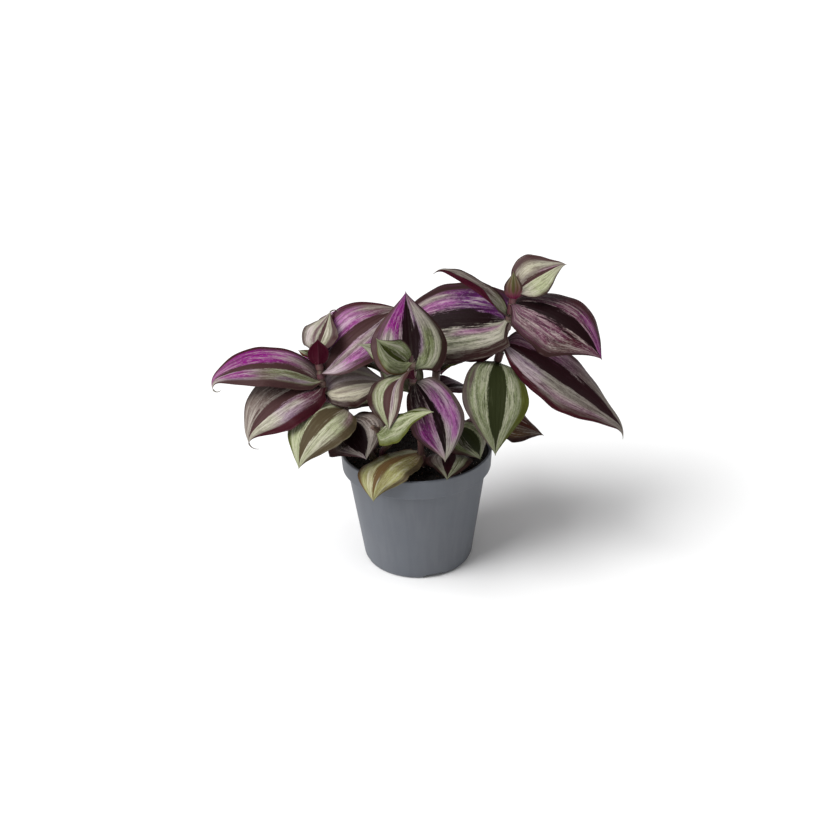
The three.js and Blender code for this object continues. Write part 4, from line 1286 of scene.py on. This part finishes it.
def stops(colours, t):
    """Colours spread evenly from base to tip."""
    places = np.linspace(0, 1, len(colours))
    values = np.array([skin(*c) for c in colours])
    return np.stack([np.interp(t, places, values[:, k]) for k in range(3)], -1)


def opaque(colour):
    """The colours with an alpha of 1."""
    return np.concatenate([colour, np.ones((*colour.shape[:-1], 1))], -1)


def add_blade(shells, leaf, stem, where):
    """Upper and lower skins on both sides of the middle surface, thinner at the edges, joined round
    the rim."""
    t, v, middle = blade_of(leaf, stem, where)
    values = paint_of(leaf, t, v)
    normal = unit(np.cross(np.gradient(middle, axis=0), np.gradient(middle, axis=1)))
    thick = THICK_AT_EDGE + (THICK_AT_MIDRIB - THICK_AT_EDGE) * (1 - np.abs(v) ** 1.5)
    thick = thick[None] * (1 - 0.4 * eased(t, 0.8, 1.0))[:, None]
    upper = middle + normal * thick[..., None] / 2
    lower = middle - normal * thick[..., None] / 2
    count = ROWS * COLUMNS
    start = shells.count
    shells.add(upper, woven(ROWS, COLUMNS, flip=True), FACE_FINISH, **values)
    shells.add(lower, woven(ROWS, COLUMNS), BACK_FINISH, **values)
    index = np.arange(count).reshape(ROWS, COLUMNS)
    rim = np.concatenate([index[:, 0], index[-1, 1:], index[-2::-1, -1], index[0, -2:0:-1]])
    ahead = np.roll(rim, -1)
    strip = np.stack([rim, rim + count, ahead + count, ahead], -1) + start
    shells.faces.append(strip[:, ::-1])
    shells.finishes.append(np.full(len(strip), FACE_FINISH))
    if leaf["thread"]:
        middle_column = COLUMNS // 2
        tip = middle[-1, middle_column]
        add_thread(shells, leaf, tip, unit(tip - middle[-6, middle_column]))


def add_strands(shells, path, radius, finish, **values):
    """Thin strands, each a five-sided tube along its own path. The sides are spread round a direction
    square to the path and to a fixed slant."""
    slant = np.array([0.31, 0.22, 0.93])
    turn = around(5)[:, None]
    along = unit(np.gradient(path, axis=1))
    side = unit(np.cross(along, slant))
    other = np.cross(along, side)
    spoke = side[:, :, None] * np.cos(turn) + other[:, :, None] * np.sin(turn)
    for tube in path[:, :, None] + spoke * radius[:, :, None, None]:
        shells.add_tube(tube, finish, **values)


def add_thread(shells, leaf, tip, along):
    """The drawn-out tip: a thread that starts along the midrib and curls towards a side, at first fast
    and then slower, while it thins."""
    length, turn, towards = leaf["thread"]
    s = np.linspace(0, 1, THREAD_STEPS)
    towards = np.array(towards, float)
    bend = unit(towards - along * (along @ towards))
    angle = radians(turn) * s**0.8
    step = along * np.cos(angle)[:, None] + bend * np.sin(angle)[:, None]
    path = tip + np.cumsum(step, 0) * length / THREAD_STEPS - along * THREAD_ROOT
    radius = THREAD_RADIUS * (1 - 0.8 * s)
    tint = opaque(stops((leaf["plus"][-1], leaf["heart"]), np.array([0.5])))[0]
    add_strands(
        shells, path[None], radius[None], FACE_FINISH, zones=[0.3, -0.5, 0], grain=[0, 0, leaf["seed"]],
        band=tint, heart=tint, margin=tint, back=tint,
    )


def add_hairs(shells, leaf, mouth, outward, values):
    """Short pale hairs that stand up from the mouth of a sheath, each straight and drawn to a point."""
    draw = np.random.default_rng(100 + leaf["seed"])
    picked = draw.integers(0, len(mouth), HAIRS)
    s = np.linspace(0, 1, 4)[None, :, None]
    length = draw.uniform(0.8, 1.7, (HAIRS, 1, 1))
    lean = outward[picked][:, None] * draw.uniform(0.2, 0.9, (HAIRS, 1, 1))
    rise = np.array([0, 0, 1.0]) + draw.normal(size=(HAIRS, 1, 3)) * 0.2
    path = mouth[picked][:, None] + (lean + rise) * length * s
    radius = np.broadcast_to(HAIR_RADIUS * (1 - 0.8 * s[..., 0]), path.shape[:2])
    add_strands(shells, path, radius, STEM_FINISH, **values)


def add_sheath(shells, leaf, stem, where, below):
    """The closed sheath under a blade: a thin sleeve round the stem, a little looser at its mouth, which
    is highest under the blade."""
    turn = around(SHEATH_SIDES)
    height, off_stem = SHEATH_ROWS.T[..., None]
    top = where + (SHEATH_HEIGHT / 2 + 0.2) / stem.length
    bottom = where - below / stem.length
    t = bottom + (top - bottom) * height[:, 0]
    side, other = stem.frame(t)
    outward = outward_of(leaf)
    facing = np.arctan2(outward @ other[0], outward @ side[0])
    away = (1 - np.cos(turn - facing)) / 2
    spoke = stem.spokes(t, turn)
    radius = stem.radius(t)[:, None] + NODE_SWELL * 0.9 + off_stem
    drop = stem.along(t)[:, None] * (-1.3 * away * height**3)[..., None]
    tube = stem.at(t)[:, None] + spoke * radius[..., None] + drop
    grain = np.zeros((*tube.shape[:2], 3))
    grain[..., 0] = np.abs(turn - np.pi) * SHEATH_SPREAD
    grain[..., 1] = height * below
    grain[..., 2] = leaf["seed"] * 3.7
    tint = skin(*leaf["plus"][0]) * 0.35 + skin(132, 92, 98) * 0.65
    plain = [0.1, 0.1, 0.1, 0.1]
    values = dict(zones=[0, 0, 0], heart=plain, margin=plain, back=plain)
    sleeve = woven(*tube.shape[:2], ring=True, loop=True)
    shells.add(tube, sleeve, STEM_FINISH, grain=grain, band=[*tint, 0.6], **values)
    hair = dict(values, grain=grain[0, 0], band=[*skin(196, 186, 172), 0.9])
    add_hairs(shells, leaf, tube[SHEATH_MOUTH], spoke[SHEATH_MOUTH], hair)


def make_leaf(name, leaf, stem, below, finishes):
    """A leaf with its sheath, which reaches a length below its node."""
    shells = Shells()
    where = stem.place(leaf["at"])
    add_blade(shells, leaf, stem, where)
    add_sheath(shells, leaf, stem, where, below)
    slot = "leaf_mauve" if name in MAUVE_LEAVES else "leaf_young" if name in BUDS else "leaf_green"
    place_piece(mesh_of(shells, name + "_blade", finishes), slot, name)


def make_plant():
    """Every stem with its leaves. A sheath stops short of the next node down."""
    stem_skin = stem_finish()
    finishes = [leaf_face_finish(), leaf_back_finish(), stem_skin]
    leaves = {name: {**FORM, **row, "seed": i} for i, (name, row) in enumerate(LEAVES.items())}
    for key, points in STEMS.items():
        stem = Stem(points)
        here = {name: leaf for name, leaf in leaves.items() if leaf["on"] == key}
        heights = sorted(leaf["at"] for leaf in here.values())
        make_stem("stem_" + key, stem, [stem.place(h) for h in heights], stem_skin)
        for name, leaf in here.items():
            lower = [h for h in heights if h < leaf["at"]]
            below = min(SHEATH_LENGTH, leaf["at"] - max(lower) - 1.2) if lower else SHEATH_LENGTH
            make_leaf(name, leaf, stem, below, finishes)


# ---------------------------------------------------------------- studio
# Each sun has a name, its energy, how wide it is in degrees, and the direction towards it.
SUNS = [
    ("key", 2.7, 44, (-0.55, -0.22, 0.80)),
    ("side", 1.4, 40, (-0.77, -0.36, 0.53)),
]
SKY_STRENGTH = 0.42
BACKDROP_STRENGTH = 1.0
PAPER = (0.88, 0.88, 0.88, 1)
PAPER_REACH = 30000


def make_studio():
    """A white floor without edges, two soft lights from the left front, and an even pale sky, which the
    camera sees as white."""
    corners = np.array([(-1, -1, 0), (1, -1, 0), (1, 1, 0), (-1, 1, 0)]) * PAPER_REACH
    floor = Shells()
    floor.add(corners, [(0, 1, 2, 3)])
    paper = Finish("white_floor", Roughness=0.9, Specular_IOR_Level=0.1, Base_Color=PAPER)
    mesh_of(floor, "floor", [paper.material])
    for name, energy, spread, towards in SUNS:
        sun = bpy.data.lights.new(name, "SUN")
        sun.energy = energy
        sun.angle = radians(spread)
        lamp = bpy.data.objects.new(name, sun)
        lamp.rotation_euler = Vector(towards).to_track_quat("Z", "Y").to_euler()
        bpy.context.scene.collection.objects.link(lamp)
    world = bpy.data.worlds.new("sky")
    world.use_nodes = True
    nodes, links = world.node_tree.nodes, world.node_tree.links
    sky = nodes["Background"]
    sky.inputs["Strength"].default_value = SKY_STRENGTH
    seen = nodes.new("ShaderNodeBackground")
    seen.inputs["Strength"].default_value = BACKDROP_STRENGTH
    for background in (sky, seen):
        background.inputs["Color"].default_value = (1, 1, 1, 1)
    path = nodes.new("ShaderNodeLightPath")
    mix = nodes.new("ShaderNodeMixShader")
    links.new(path.outputs["Is Camera Ray"], mix.inputs[0])
    links.new(sky.outputs[0], mix.inputs[1])
    links.new(seen.outputs[0], mix.inputs[2])
    links.new(mix.outputs[0], nodes["World Output"].inputs[0])
    scene = bpy.context.scene
    scene.world = world
    scene.view_settings.view_transform = "Standard"


make_camera()
make_studio()
make_pot(pot_finish())
make_soil(soil_finish())
peat = grit_finish("peat_crumb", tone(12, 9, 7), tone(36, 26, 20))
bark = grit_finish("bark_crumb", tone(40, 26, 18), tone(86, 62, 42))
perlite = grit_finish("perlite", tone(152, 134, 118), tone(222, 212, 200))
scatter("soil_crumbs", peat, 1500, 0.6, 2.6, seed=11)
scatter("soil_bark", bark, 150, 0.5, 2.2, seed=12)
scatter("soil_perlite", perlite, 260, 0.35, 1.1, seed=13)
make_fibres(grit_finish("peat_fibre", tone(34, 22, 15), tone(92, 68, 46)))
make_plant()
